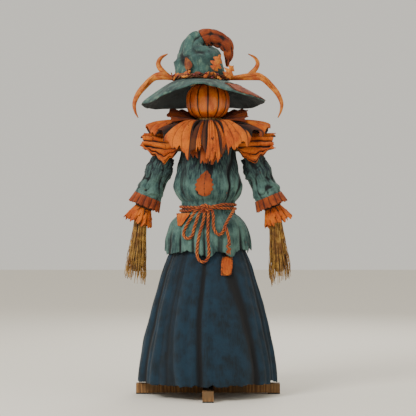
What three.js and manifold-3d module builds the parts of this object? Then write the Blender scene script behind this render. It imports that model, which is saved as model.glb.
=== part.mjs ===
// A standing scarecrow figure on a wooden cross base. The front faces -Y, left is -X, Z = 0 is the floor.
// A post carries a crossbar, a stuffed tunic over a long robe, layered collars and a pumpkin head under a
// floppy hat. Both arms hang from shoulder bolts, the head turns on a round spigot and the hat lifts off.
import * as THREE from 'three';
import { mergeVertices } from 'three/addons/utils/BufferGeometryUtils.js';
import Module from 'manifold-3d';

const wasm = await Module();
wasm.setup();

// Driving sizes in millimetres.
const GAP = 0.3; // between pieces that touch
const NECK_HEIGHT = 1138; // floor to the top of the post
const RAIL = { length: 600, width: 45, height: 38 };
const PAD = { length: 50, height: 5 };
const POST_SIDE = 36;
const SPIGOT = { radius: 14, length: 62, clearance: 0.6 };
const BRACKET = { wall: 3, plate: 118, height: 66, screwOffset: 45 };
const SCREW = { shank: 2.5, head: 5.5, headHeight: 3, length: 28 };
const CROSSBAR = { length: 370, height: 36, thickness: 24, notch: 12 };
const BOLT = { radius: 4, clearance: 0.5, head: 9, headHeight: 5, beyond: 12 };
const NUT = { radius: 8, height: 7 };
const WING_NUT = [[-9, -4], [-4, -8], [4, -8], [9, -4], [20, 5], [17, 12], [7, 7], [-7, 7], [-17, 12],
  [-20, 5], [-9, -4]];
const SHOULDER = { span: 165, drop: 108, tilt: 22.5 };
const BATTEN = { width: 26, thickness: 16, above: 20, length: 335 };
const HEAD_REST = { radius: 40, thickness: 11.4 };
const COLLAR = { root: 48, frontReach: 152, frontFall: 160, sideReach: 262, sideFall: 30, pleat: 6 };
const UNDER_COLLAR = { root: 48, frontReach: 128, frontFall: 186, sideReach: 150, sideFall: 34, pleat: 4 };
const BACK_COLLAR = { root: 50, reach: 116, above: 7, rise: 44, pleat: 5 };
const UNDER_COLLAR_DROP = 12;
const CAPE = { inner: 114, outer: 281, spring: 116, crest: 60, halfWidth: 63, spread: 7 };
const PUMPKIN = { radius: 92, height: 140, lobes: 12, groove: 0.07, squareness: 0.8 };
const STEM = { radius: 14, height: 42 };
const CLOTH = 3; // fabric thickness
const STUFFING_INSET = 5;
const WAIST_DROP = 362; // neck to the belt
const ROPE = { diameter: 12, turns: 2, pitch: 16 };
const KNOT = { width: 48, depth: 26, height: 34 };
const HEM_HEIGHT = 60; // floor to the robe's hem
const HEM_HALF_WIDTH = 290;
const ROBE_FOLDS = { count: 10, depth: 2, curve: 1.5, topDepth: 0.84, hemDepth: 0.95 };
const HOOP = { wire: 4, above: 14, inside: 15, depth: 0.94 };
const CHEST_LEAF = { length: 108, width: 76, lobes: 3, drop: 262, front: 273, aside: -15 };
const WRIST = 262; // shoulder pivot to the end of the sleeve
const HAND = { start: 258, bend: 300, tilt: 5, length: 270 };
const TIE = { wire: 4.5, radius: 33.5, below: 6 };
const RUFFLE = { top: [224, 58.5], hem: [WRIST + 4, 63], pleats: 9, depth: 3 };
const FRILL = { top: [WRIST + 14, 34], hem: [338, 58], pleats: 9, depth: 4 };
const HAT = { shift: -32, mouth: 104, above: 18, wall: 4 };
const BRIM = { reach: [202, 240, 244, 270], fall: [30, 98, 102, 92] }; // front, back, left, right
const LINER = { thickness: 26, hole: 46 };
const VINE = { radius: 6, above: 10 };
const LEAF_THICKNESS = 2.5;
const HUSK = { blade: 20, curl: 15, bladeRise: 10, curlRise: 12 };

// Half widths of the clothes: [drop below the neck, half width].
const TUNIC = [
  [26, 50], [40, 74], [53, 93], [88, 107], [138, 113], [181, 121], [224, 133], [273, 147], [310, 134],
  [338, 107], [386, 107], [400, 128], [418, 147], [458, 162], [498, 167], [538, 170],
];
const TUNIC_DEPTH = [[26, 0.8], [138, 0.78], [224, 0.8], [318, 0.83], [362, 0.85], [538, 0.86]];
const ROBE = [[363, 91], [388, 100], [418, 124], [498, 146], [538, 156], [586, 177]];

// Sleeve and crown outlines.
const SLEEVE = [[40, 44], [80, 50], [140, 54], [200, 56], [240, 52], [WRIST, 40]];
const STRAW = [[0, 24], [0.15, 26], [0.4, 30], [0.7, 38], [0.93, 43], [1, 40]];
const CROWN = [[0, 0, 104], [-1, 18, 104], [-6, 50, 104], [-12, 93, 101], [-18, 122, 80], [-20, 142, 62],
  [-12, 160, 51], [8, 172, 43]];
const CROWN_TIP = [[10, 173.5, 43], [17, 177, 41.5], [42, 182, 38], [70, 174, 34], [100, 158, 31],
  [115, 132, 27], [117, 104, 20], [114, 80, 13], [111, 58, 4]];
const CROWN_SIDES = 20;

// Leaves stand off the crown: name, finish, [length, width, lobes], angle from the front, distance off the
// crown, height, turn about the upright and lean, in degrees.
const LEAVES = [
  ['hat_leaf_brown', 'leafBrown', [50, 34, 3], -27, 8, 60, -27, 6],
  ['hat_leaf_oak', 'leafOrange', [68, 50, 3], 33, 22, 64, 28, -29],
  ['hat_leaf_maple', 'leafOrange', [54, 52, 2], 55, 44, 32, 25, -40],
];

// The husks past their root: [distance from the post, height above the hat's mouth].
const HUSK_BLADE = [[192, 14], [228, 10], [262, -20], [292, -56], [308, -96], [304, -130], [292, -156]];
const HUSK_CURL = [[160, 16], [182, 32], [202, 54], [208, 74], [196, 96], [168, 112]];

// The rope's routes, from the middle of the waist at belt height.
const LEFT_LOOP = [[-20, -119, 11], [-52, -121, -16], [-82, -124, -62], [-98, -124, -96], [-97, -130, -118],
  [-80, -138, -126], [-64, -140, -112], [-57, -141, -84], [-47, -138, -54], [-38, -128, -27],
  [-24, -119, -10]];
const CENTER_LOOP = [[-15, -119, -4], [-16, -130, -36], [-22, -142, -64], [-38, -152, -121],
  [-45, -156, -183], [-38, -158, -210], [-20, -158, -221], [-3, -158, -210], [4, -157, -183],
  [0, -153, -121], [0, -142, -64], [1, -130, -36], [3, -119, -4]];
const RIGHT_LOOP = [[2, -120, 4], [17, -122, -12], [22, -131, -38], [22, -142, -72], [30, -148, -98],
  [46, -148, -110], [62, -142, -98], [70, -136, -74], [86, -117, -44], [100, -92, -22], [109, -66, -6]];
const ROPE_TAIL = [[76, -150, -88], [82, -149, -112], [86, -148, -136], [84, -149, -156]];

const DEPTH_AXIS = new THREE.Vector3(0, 1, 0);
const OUTER = 2;
const INNER = 1;
const NUDGE = 1e-3;
const WELD = 1e-4;

const bracketTop = PAD.height + GAP + RAIL.height + GAP + BRACKET.wall;
const railTop = PAD.height + GAP + RAIL.height;
const waistHeight = NECK_HEIGHT - WAIST_DROP;
const shoulderHeight = NECK_HEIGHT - SHOULDER.drop;
const crossbarBack = POST_SIDE / 2 - CROSSBAR.notch + GAP + CROSSBAR.thickness;
const crossbarFront = crossbarBack - CROSSBAR.thickness;
const battenBack = crossbarFront - 2 * GAP;
const headRestTop = NECK_HEIGHT + GAP + HEAD_REST.thickness;
const pumpkinBase = headRestTop + GAP;
const pumpkinTop = pumpkinBase + PUMPKIN.height;
const linerBase = pumpkinTop + 2 * GAP;
const hatBase = pumpkinTop + HAT.above;

const finishes = {
  timber: { color: 0x8a6238, roughness: 0.8, metalness: 0 },
  steel: { color: 0x9a9c9e, roughness: 0.4, metalness: 1 },
  rubber: { color: 0x1f1f20, roughness: 0.9, metalness: 0 },
  straw: { color: 0xa0712f, roughness: 0.95, metalness: 0 },
  tunicCloth: { color: 0x44615f, roughness: 0.95, metalness: 0 },
  robeCloth: { color: 0x16384a, roughness: 0.95, metalness: 0 },
  hatFelt: { color: 0x4a6b68, roughness: 0.95, metalness: 0 },
  orangeCloth: { color: 0xc96a1d, roughness: 0.95, metalness: 0 },
  rustCloth: { color: 0x8c4319, roughness: 0.95, metalness: 0 },
  rope: { color: 0xb55f24, roughness: 0.9, metalness: 0 },
  twine: { color: 0x5f3a1c, roughness: 0.95, metalness: 0 },
  pumpkinSkin: { color: 0xd9771e, roughness: 0.55, metalness: 0 },
  stemWood: { color: 0x5c5a2c, roughness: 0.85, metalness: 0 },
  vineBark: { color: 0x6b3417, roughness: 0.9, metalness: 0 },
  husk: { color: 0xc8661f, roughness: 0.85, metalness: 0 },
  leafOrange: { color: 0xd2691e, roughness: 0.85, metalness: 0 },
  leafBrown: { color: 0x8a4a1d, roughness: 0.85, metalness: 0 },
};

// Solids and booleans.

function weld(geometry) {
  const bare = geometry.clone();
  bare.deleteAttribute('normal');
  bare.deleteAttribute('uv');
  const merged = mergeVertices(bare, WELD);
  const corners = merged.index.array;
  const kept = [];
  for (let i = 0; i < corners.length; i += 3) {
    const [a, b, c] = corners.slice(i, i + 3);
    if (a !== b && b !== c && c !== a) kept.push(a, b, c);
  }
  merged.setIndex(kept);
  return merged;
}

function toSolid(geometry) {
  const welded = weld(geometry);
  return new wasm.Manifold(new wasm.Mesh({
    numProp: 3,
    vertProperties: Float32Array.from(welded.attributes.position.array),
    triVerts: Uint32Array.from(welded.index.array),
  }));
}

function toGeometry(solid) {
  const mesh = solid.getMesh();
  const geometry = new THREE.BufferGeometry();
  geometry.setAttribute('position', new THREE.BufferAttribute(Float32Array.from(mesh.vertProperties), 3));
  geometry.setIndex(new THREE.BufferAttribute(Uint32Array.from(mesh.triVerts), 1));
  return geometry;
}

function cut(geometry, ...tools) {
  return toGeometry(tools.reduce((solid, tool) => solid.subtract(toSolid(tool)), toSolid(geometry)));
}

function join(geometry, ...others) {
  return toGeometry(others.reduce((solid, other) => solid.add(toSolid(other)), toSolid(geometry)));
}

function block(width, depth, height, x = 0, y = 0, z = 0) {
  return new THREE.BoxGeometry(width, depth, height).translate(x, y, z + height / 2);
}

// A cylinder standing on z, or lying along Y from y.
function upright(radius, height, sides, x = 0, y = 0, z = 0) {
  return new THREE.CylinderGeometry(radius, radius, height, sides).rotateX(Math.PI / 2)
    .translate(x, y, z + height / 2);
}

function crosswise(radius, length, sides, x, y, z) {
  return new THREE.CylinderGeometry(radius, radius, length, sides).translate(x, y + length / 2, z);
}

// Shaped surfaces. A place function gives the outer surface: its angle runs from the front towards +X, and
// its second value from the hem, 0, to the top, 1.

function between(table, key) {
  const last = table.length - 1;
  if (key <= table[0][0]) return table[0][1];
  if (key >= table[last][0]) return table[last][1];
  const next = table.findIndex(([entry]) => entry > key);
  const [[lowKey, lowValue], [highKey, highValue]] = [table[next - 1], table[next]];
  return lowValue + ((highValue - lowValue) * (key - lowKey)) / (highKey - lowKey);
}

// The key a share of the way down a table's rows, so that a piece's rows fall on the table's own.
function stationAt(table, share) {
  return between(table.map(([key], row) => [row / (table.length - 1), key]), share);
}

function around(halfWidth, halfDepth, angle, height) {
  return new THREE.Vector3(halfWidth * Math.sin(angle), -halfDepth * Math.cos(angle), height);
}

function wave(angle, lobes, depth, turn = 0) {
  return depth * Math.cos(lobes * angle + turn);
}

function normalAt(place, u, v) {
  const along = place(u + NUDGE, v).sub(place(u - NUDGE, v));
  const across = place(u, Math.min(1, v + NUDGE)).sub(place(u, Math.max(0, v - NUDGE)));
  return along.cross(across).normalize();
}

function reshape(geometry, move) {
  const positions = geometry.attributes.position;
  const point = new THREE.Vector3();
  for (let i = 0; i < positions.count; i += 1) {
    point.fromBufferAttribute(positions, i);
    positions.setXYZ(i, ...move(point.x, point.y, point.z).toArray());
  }
  return weld(geometry);
}

function clothTube(place, segments, rows, thickness = CLOTH) {
  const profile = [];
  for (let row = 0; row <= rows; row += 1) profile.push(new THREE.Vector2(OUTER, row / rows));
  for (let row = rows; row >= 0; row -= 1) profile.push(new THREE.Vector2(INNER, row / rows));
  profile.push(profile[0].clone());
  return reshape(new THREE.LatheGeometry(profile, segments), (x, y, z) => {
    const angle = Math.atan2(x, z);
    const surface = place(angle, y);
    if (Math.hypot(x, z) > (OUTER + INNER) / 2) return surface;
    return surface.addScaledVector(normalAt(place, angle, y), -thickness);
  });
}

function clothSheet(place, columns, rows, thickness = CLOTH) {
  return reshape(new THREE.BoxGeometry(1, 1, 1, columns, rows, 1), (x, y, z) => {
    const surface = place(x + 0.5, y + 0.5);
    if (z > 0) return surface;
    return surface.addScaledVector(normalAt(place, x + 0.5, y + 0.5), -thickness);
  });
}

// A solid body whose skin is place(angle, rise), closed by flat ends.
function solidBody(place, segments, rows) {
  const profile = [new THREE.Vector2(0, 0)];
  for (let row = 0; row <= rows; row += 1) profile.push(new THREE.Vector2(1, row / rows));
  profile.push(new THREE.Vector2(0, 1));
  return reshape(new THREE.LatheGeometry(profile, segments), (x, y, z) => {
    const radius = Math.hypot(x, z);
    const angle = Math.atan2(x, z);
    if (radius > 0.5) return place(angle, y);
    return place(0, y).add(place(Math.PI, y)).multiplyScalar(0.5);
  });
}

// A round solid along a path in the XZ plane, with rows of [x, z, radius].
function limb(stations, segments, rows, shrink = 0) {
  const path = new THREE.CatmullRomCurve3(stations.map(([x, z]) => new THREE.Vector3(x, 0, z)));
  const radii = stations.map(([, , radius], index) => [index / (stations.length - 1), radius]);
  return solidBody((angle, rise) => {
    const side = new THREE.Vector3().crossVectors(DEPTH_AXIS, path.getTangent(rise)).normalize();
    const radius = between(radii, rise) - shrink;
    return path.getPoint(rise).addScaledVector(side, radius * Math.sin(angle))
      .addScaledVector(DEPTH_AXIS, -radius * Math.cos(angle));
  }, segments, rows);
}

function tube(points, radius, sides, steps) {
  const section = new THREE.Shape(Array.from({ length: sides }, (_, i) => {
    const turn = (2 * Math.PI * i) / sides;
    return new THREE.Vector2(radius * Math.cos(turn), radius * Math.sin(turn));
  }));
  const extrudePath = new THREE.CatmullRomCurve3(points.map((point) => new THREE.Vector3(...point)));
  return new THREE.ExtrudeGeometry(section, { steps, extrudePath, bevelEnabled: false });
}

function ring(radius, wire, sides, segments, height) {
  return new THREE.TorusGeometry(radius, wire, sides, segments).translate(0, 0, height);
}

// A flat piece cut from a shape in the XZ plane, from y towards the front.
function flatPiece(shape, thickness) {
  return new THREE.ExtrudeGeometry(shape, { depth: thickness, bevelEnabled: false, curveSegments: 4 })
    .rotateX(Math.PI / 2);
}

// A lobed leaf with its stalk end down.
function leafShape(length, width, lobes) {
  const side = [];
  for (let lobe = 0; lobe < lobes; lobe += 1) {
    const rise = (lobe + 0.6) / (lobes + 0.4);
    const reach = (width / 2) * Math.sin(Math.PI * (0.25 + 0.6 * rise));
    side.push([reach, length * (rise - 0.5)]);
    side.push([reach * 0.5, length * (rise - 0.5 + 0.28 / lobes)]);
  }
  const shape = new THREE.Shape();
  shape.moveTo(0, -length / 2);
  side.forEach(([x, z]) => shape.lineTo(x, z));
  shape.lineTo(0, length / 2);
  side.reverse().forEach(([x, z]) => shape.lineTo(-x, z));
  return shape;
}

// A long blade that tapers to a point along a curve.
function bladeShape(points, width, steps) {
  const spine = new THREE.SplineCurve(points.map(([x, z]) => new THREE.Vector2(x, z)));
  const edges = [[], []];
  for (let step = 0; step <= steps; step += 1) {
    const share = step / steps;
    const half = (width / 2) * (0.35 + 0.65 * Math.sin(Math.PI * Math.min(1, share * 1.6 + 0.2) * 0.5))
      * (1 - share ** 4 * 0.96);
    const tangent = spine.getTangent(share);
    const middle = spine.getPoint(share);
    edges[0].push(new THREE.Vector2(middle.x - tangent.y * half, middle.y + tangent.x * half));
    edges[1].unshift(new THREE.Vector2(middle.x + tangent.y * half, middle.y - tangent.x * half));
  }
  return new THREE.Shape([...edges[0], ...edges[1]]);
}

// A bolt along +Y with its domed head in front of y.
function boltShape(radius, head, headHeight, length) {
  const profile = [[0, -headHeight], [head * 0.6, -headHeight * 0.85], [head, -headHeight * 0.3], [head, 0],
    [radius, 0], [radius, length], [0, length]].map(([x, y]) => new THREE.Vector2(x, y));
  return weld(new THREE.LatheGeometry(profile, 10));
}

function regularShape(radius, sides) {
  return new THREE.Shape(Array.from({ length: sides }, (_, i) => {
    const turn = (2 * Math.PI * i) / sides;
    return new THREE.Vector2(radius * Math.cos(turn), radius * Math.sin(turn));
  }));
}

const figure = new THREE.Group();

function add(name, geometry, finish, parent = figure) {
  geometry.computeVertexNormals();
  const mesh = new THREE.Mesh(geometry, new THREE.MeshStandardMaterial(finishes[finish]));
  mesh.name = name;
  parent.add(mesh);
  return mesh;
}

// Base: two rails halved into each other, rubber pads, and a steel bracket that grips the post.
{
  const railBase = PAD.height + GAP;
  const half = RAIL.height / 2;
  const lap = RAIL.width + 2 * GAP;
  const screwPlaces = [['left', -BRACKET.screwOffset], ['right', BRACKET.screwOffset]];
  const pilotDepth = SCREW.length + GAP;
  const pilotRadius = SCREW.shank + GAP;
  const pilotBase = bracketTop - pilotDepth;
  const pilots = screwPlaces.map(([, x]) => upright(pilotRadius, pilotDepth, 8, x, 0, pilotBase));
  const alongX = block(RAIL.length, RAIL.width, RAIL.height, 0, 0, railBase);
  add('base_rail_x', cut(alongX, block(lap, lap, half + 1, 0, 0, railBase - 1), ...pilots), 'timber');
  const alongY = block(RAIL.width, RAIL.length, RAIL.height, 0, 0, railBase);
  add('base_rail_y', cut(alongY, block(lap, lap, half + 1, 0, 0, railBase + half - GAP)), 'timber');
  const padReach = (RAIL.length - PAD.length) / 2;
  const padPlaces = [['left', -padReach, 0], ['right', padReach, 0], ['front', 0, -padReach],
    ['back', 0, padReach]];
  for (const [side, x, y] of padPlaces) {
    const [width, depth] = x ? [PAD.length, RAIL.width] : [RAIL.width, PAD.length];
    add(`foot_pad_${side}`, block(width, depth, PAD.height, x, y), 'rubber');
  }
  const bore = POST_SIDE + 2 * GAP;
  const socket = bore + 2 * BRACKET.wall;
  const plate = block(BRACKET.plate, RAIL.width, BRACKET.wall, 0, 0, railTop + GAP);
  const sleeve = block(socket, socket, BRACKET.height, 0, 0, railTop + GAP);
  const postHole = block(bore, bore, BRACKET.height + 2, 0, 0, railTop);
  add('post_bracket', cut(join(plate, sleeve), postHole, ...pilots), 'steel');
  for (const [side, x] of screwPlaces) {
    const screw = boltShape(SCREW.shank, SCREW.head, SCREW.headHeight, SCREW.length - GAP)
      .rotateX(-Math.PI / 2);
    add(`bracket_screw_${side}`, screw.translate(x, 0, bracketTop + GAP), 'steel');
  }
}

// Frame: the post with its spigot, the crossbar in the post's back notch, and the disc under the head.
{
  const postBase = railTop + GAP;
  const boltHole = (x) => crosswise(BOLT.radius + BOLT.clearance, 2 * POST_SIDE, 12, x, -POST_SIDE,
    shoulderHeight);
  const notch = block(POST_SIDE + 2, CROSSBAR.notch + 1, CROSSBAR.height + 2 * GAP, 0,
    POST_SIDE / 2 - (CROSSBAR.notch - 1) / 2, shoulderHeight - CROSSBAR.height / 2 - GAP);
  const post = join(block(POST_SIDE, POST_SIDE, NECK_HEIGHT - postBase, 0, 0, postBase),
    upright(SPIGOT.radius, SPIGOT.length + 1, 20, 0, 0, NECK_HEIGHT - 1));
  add('post', cut(post, notch, boltHole(0)), 'timber');
  const bar = block(CROSSBAR.length, CROSSBAR.thickness, CROSSBAR.height, 0,
    crossbarFront + CROSSBAR.thickness / 2, shoulderHeight - CROSSBAR.height / 2);
  add('crossbar', cut(bar, boltHole(-SHOULDER.span), boltHole(0), boltHole(SHOULDER.span)), 'timber');
  const boltLength = crossbarBack + POST_SIDE / 2 + BOLT.beyond;
  const bolt = boltShape(BOLT.radius, BOLT.head, BOLT.headHeight, boltLength);
  add('crossbar_bolt', bolt.translate(0, -POST_SIDE / 2 - GAP, shoulderHeight), 'steel');
  const nutShape = regularShape(NUT.radius, 6);
  nutShape.holes.push(new THREE.Path(regularShape(BOLT.radius + GAP, 12).getPoints().reverse()));
  const nut = flatPiece(nutShape, NUT.height);
  nut.translate(0, crossbarBack + GAP + NUT.height, shoulderHeight);
  add('crossbar_nut', nut, 'steel');
  const disc = upright(HEAD_REST.radius, HEAD_REST.thickness, 24, 0, 0, NECK_HEIGHT + GAP);
  const bore = upright(SPIGOT.radius + GAP, HEAD_REST.thickness + 2, 20, 0, 0, NECK_HEIGHT - 1);
  add('head_rest', cut(disc, bore), 'timber');
}

// Clothes on the body.
const tunicHalfWidth = (drop) => between(TUNIC, drop);
const tunicHalfDepth = (drop) => between(TUNIC, drop) * between(TUNIC_DEPTH, drop);

function armHoles(margin) {
  const height = CROSSBAR.height + 2 * margin;
  const depth = crossbarBack - crossbarFront + 2 * margin;
  return block(CROSSBAR.length + 2, depth, height, 0, (crossbarFront + crossbarBack) / 2,
    shoulderHeight - height / 2);
}

{
  const hem = TUNIC[TUNIC.length - 1][0];
  const tunic = clothTube((angle, rise) => {
    const ragged = 14 - 24 * Math.sin(angle) ** 2 + wave(angle, 9, 7, 1);
    const drop = stationAt(TUNIC, 1 - rise) + ragged * (1 - rise) ** 6;
    const flare = Math.max(0, drop - WAIST_DROP - 30) / (hem - WAIST_DROP);
    const fold = flare * (1.5 + wave(angle, 7, 1.5));
    return around(tunicHalfWidth(drop) + fold, tunicHalfDepth(drop) + fold, angle, NECK_HEIGHT - drop);
  }, 28, TUNIC.length - 1);
  add('tunic', cut(tunic, armHoles(2)), 'tunicCloth');

  const filled = TUNIC.slice(1, 10);
  const inset = CLOTH + STUFFING_INSET;
  const stuffing = solidBody((angle, rise) => {
    const drop = stationAt(filled, 1 - rise);
    return around(tunicHalfWidth(drop) - inset, tunicHalfDepth(drop) - inset, angle, NECK_HEIGHT - drop);
  }, 18, filled.length - 1);
  const postSpace = block(POST_SIDE + 2, POST_SIDE + 2, NECK_HEIGHT);
  const boltSpace = crosswise(BOLT.head + 2, POST_SIDE / 2 + crossbarBack + 2 * BOLT.beyond, 12, 0,
    -POST_SIDE / 2 - BOLT.beyond, shoulderHeight);
  add('torso_stuffing', cut(stuffing, postSpace, armHoles(1), boltSpace), 'straw');

  const skirt = ROBE[ROBE.length - 1];
  const robeTop = ROBE[0][0];
  const robeLength = NECK_HEIGHT - HEM_HEIGHT - robeTop;
  const robe = clothTube((angle, rise) => {
    const drop = robeTop + robeLength * (1 - rise);
    const below = Math.max(0, (drop - skirt[0]) / (robeTop + robeLength - skirt[0]));
    const spread = (HEM_HALF_WIDTH - skirt[1]) * (1 - (1 - below) ** ROBE_FOLDS.curve);
    const width = between(ROBE, drop) + spread + wave(angle, ROBE_FOLDS.count, ROBE_FOLDS.depth * below);
    const flatness = ROBE_FOLDS.topDepth + (ROBE_FOLDS.hemDepth - ROBE_FOLDS.topDepth) * below;
    return around(width, width * flatness, angle, NECK_HEIGHT - drop);
  }, 32, 7);
  add('robe', robe, 'robeCloth');
  const hoopRadius = HEM_HALF_WIDTH - HOOP.inside - HOOP.wire;
  add('robe_hoop', ring(hoopRadius, HOOP.wire / 2, 6, 28, 0).scale(1, HOOP.depth, 1)
    .translate(0, 0, HEM_HEIGHT + HOOP.above), 'steel');

  const leafFront = tunicHalfDepth(CHEST_LEAF.front) + GAP;
  const leaf = flatPiece(leafShape(CHEST_LEAF.length, CHEST_LEAF.width, CHEST_LEAF.lobes), CLOTH);
  leaf.translate(CHEST_LEAF.aside, -leafFront, NECK_HEIGHT - CHEST_LEAF.drop);
  add('chest_leaf', leaf, 'rustCloth');
}

// Layered collars. Each one leaves the neck and falls, reaching far out at the sides.
{
  const petals = (neck, collar) => (angle, rise) => {
    const out = 1 - rise;
    const sideShare = (Math.sin(angle) ** 2) ** 1.6;
    const ragged = 1 + (wave(angle, 14, 0.05, 0.6) + wave(angle, 6, 0.05)) * out * (1 - sideShare * 0.5);
    const reach = (collar.frontReach + (collar.sideReach - collar.frontReach) * sideShare) * ragged;
    const fall = (collar.frontFall + (collar.sideFall - collar.frontFall) * sideShare) * ragged;
    const lift = wave(angle, 12, collar.pleat) * Math.sin(Math.PI * Math.min(0.5, out));
    const radius = collar.root + (reach - collar.root) * Math.sin((out * Math.PI) / 2);
    return around(radius, radius, angle, neck - fall * (1 - Math.cos((out * Math.PI) / 2)) + lift);
  };
  add('collar_front', clothTube(petals(NECK_HEIGHT, COLLAR), 48, 4), 'orangeCloth');
  const under = petals(NECK_HEIGHT - UNDER_COLLAR_DROP, UNDER_COLLAR);
  add('collar_under', clothTube(under, 36, 3), 'rustCloth');
  const back = (u, v) => {
    const angle = Math.PI * (0.42 + 1.16 * u);
    const ragged = 1 + wave(angle, 11, 0.04) * v;
    const radius = BACK_COLLAR.root + BACK_COLLAR.reach * ragged * v;
    const lift = BACK_COLLAR.above + BACK_COLLAR.rise * v ** 1.2 + wave(angle, 13, BACK_COLLAR.pleat * v);
    return around(radius, radius, angle, NECK_HEIGHT + lift);
  };
  add('collar_back', clothSheet(back, 24, 3), 'rustCloth');
}

// Capes over the shoulders: an arch across each arm with a flap in front and behind.
for (const [side, sign] of [['left', -1], ['right', 1]]) {
  const cape = (u, v) => {
    const out = sign < 0 ? 1 - u : u;
    const x = CAPE.inner + (CAPE.outer - CAPE.inner) * out;
    const flap = between([[0, 44], [0.4, 52], [0.75, 12], [1, -22]], out) + wave(out * Math.PI, 5, 4);
    const halfWidth = CAPE.halfWidth + CAPE.spread * out;
    const turn = Math.PI * Math.min(1, Math.max(0, (v - 0.2) / 0.6));
    const down = flap * Math.max(0, Math.abs(v - 0.5) - 0.3) * 5;
    const crest = CAPE.crest + wave(out * Math.PI, 4, 2);
    return new THREE.Vector3(sign * x, -halfWidth * Math.cos(turn),
      NECK_HEIGHT - CAPE.spring + crest * Math.sin(turn) - down);
  };
  add(`capelet_${side}`, clothSheet(cape, 5, 13), 'orangeCloth');
}

// Rope: two turns round the waist, the knot in front, its loops and one loose end.
{
  const rope = ROPE.diameter / 2;
  const clear = rope + 2.5;
  const helix = [];
  const stepsPerTurn = 18;
  for (let step = 1; step < ROPE.turns * stepsPerTurn; step += 1) {
    const angle = (2 * Math.PI * step) / stepsPerTurn;
    const drop = WAIST_DROP + ROPE.pitch * (step / stepsPerTurn - ROPE.turns / 2);
    const [halfWidth, halfDepth] = [tunicHalfWidth(drop) + clear, tunicHalfDepth(drop) + clear];
    helix.push(around(halfWidth, halfDepth, angle, NECK_HEIGHT - drop).toArray());
  }
  add('belt_rope', tube(helix, rope, 8, ROPE.turns * stepsPerTurn), 'rope');
  const knotFront = tunicHalfDepth(WAIST_DROP) + clear + rope + 2 * GAP + KNOT.depth / 2 + 3;
  const knot = (grow) => new THREE.SphereGeometry(1, 14, 8)
    .scale(KNOT.width / 2 + grow, KNOT.depth / 2 + grow, KNOT.height / 2 + grow)
    .translate(-8, -knotFront, waistHeight - 2);
  add('belt_knot', weld(knot(0)), 'rope');
  const routes = { left: [LEFT_LOOP, 18], center: [CENTER_LOOP, 22], right: [RIGHT_LOOP, 14] };
  for (const [side, [points, steps]] of Object.entries(routes)) {
    const loop = tube(points, rope, 8, steps).translate(0, 0, waistHeight);
    add(`rope_loop_${side}`, cut(loop, knot(2 * GAP)), 'rope');
  }
  const tail = tube(ROPE_TAIL, rope, 8, 6).translate(0, 0, waistHeight);
  const [endX, endY, endZ] = ROPE_TAIL[ROPE_TAIL.length - 1];
  const endKnot = new THREE.SphereGeometry(rope * 1.6, 10, 6).translate(endX, endY, endZ + waistHeight);
  add('rope_tail', join(tail, endKnot), 'rope');
}

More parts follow.
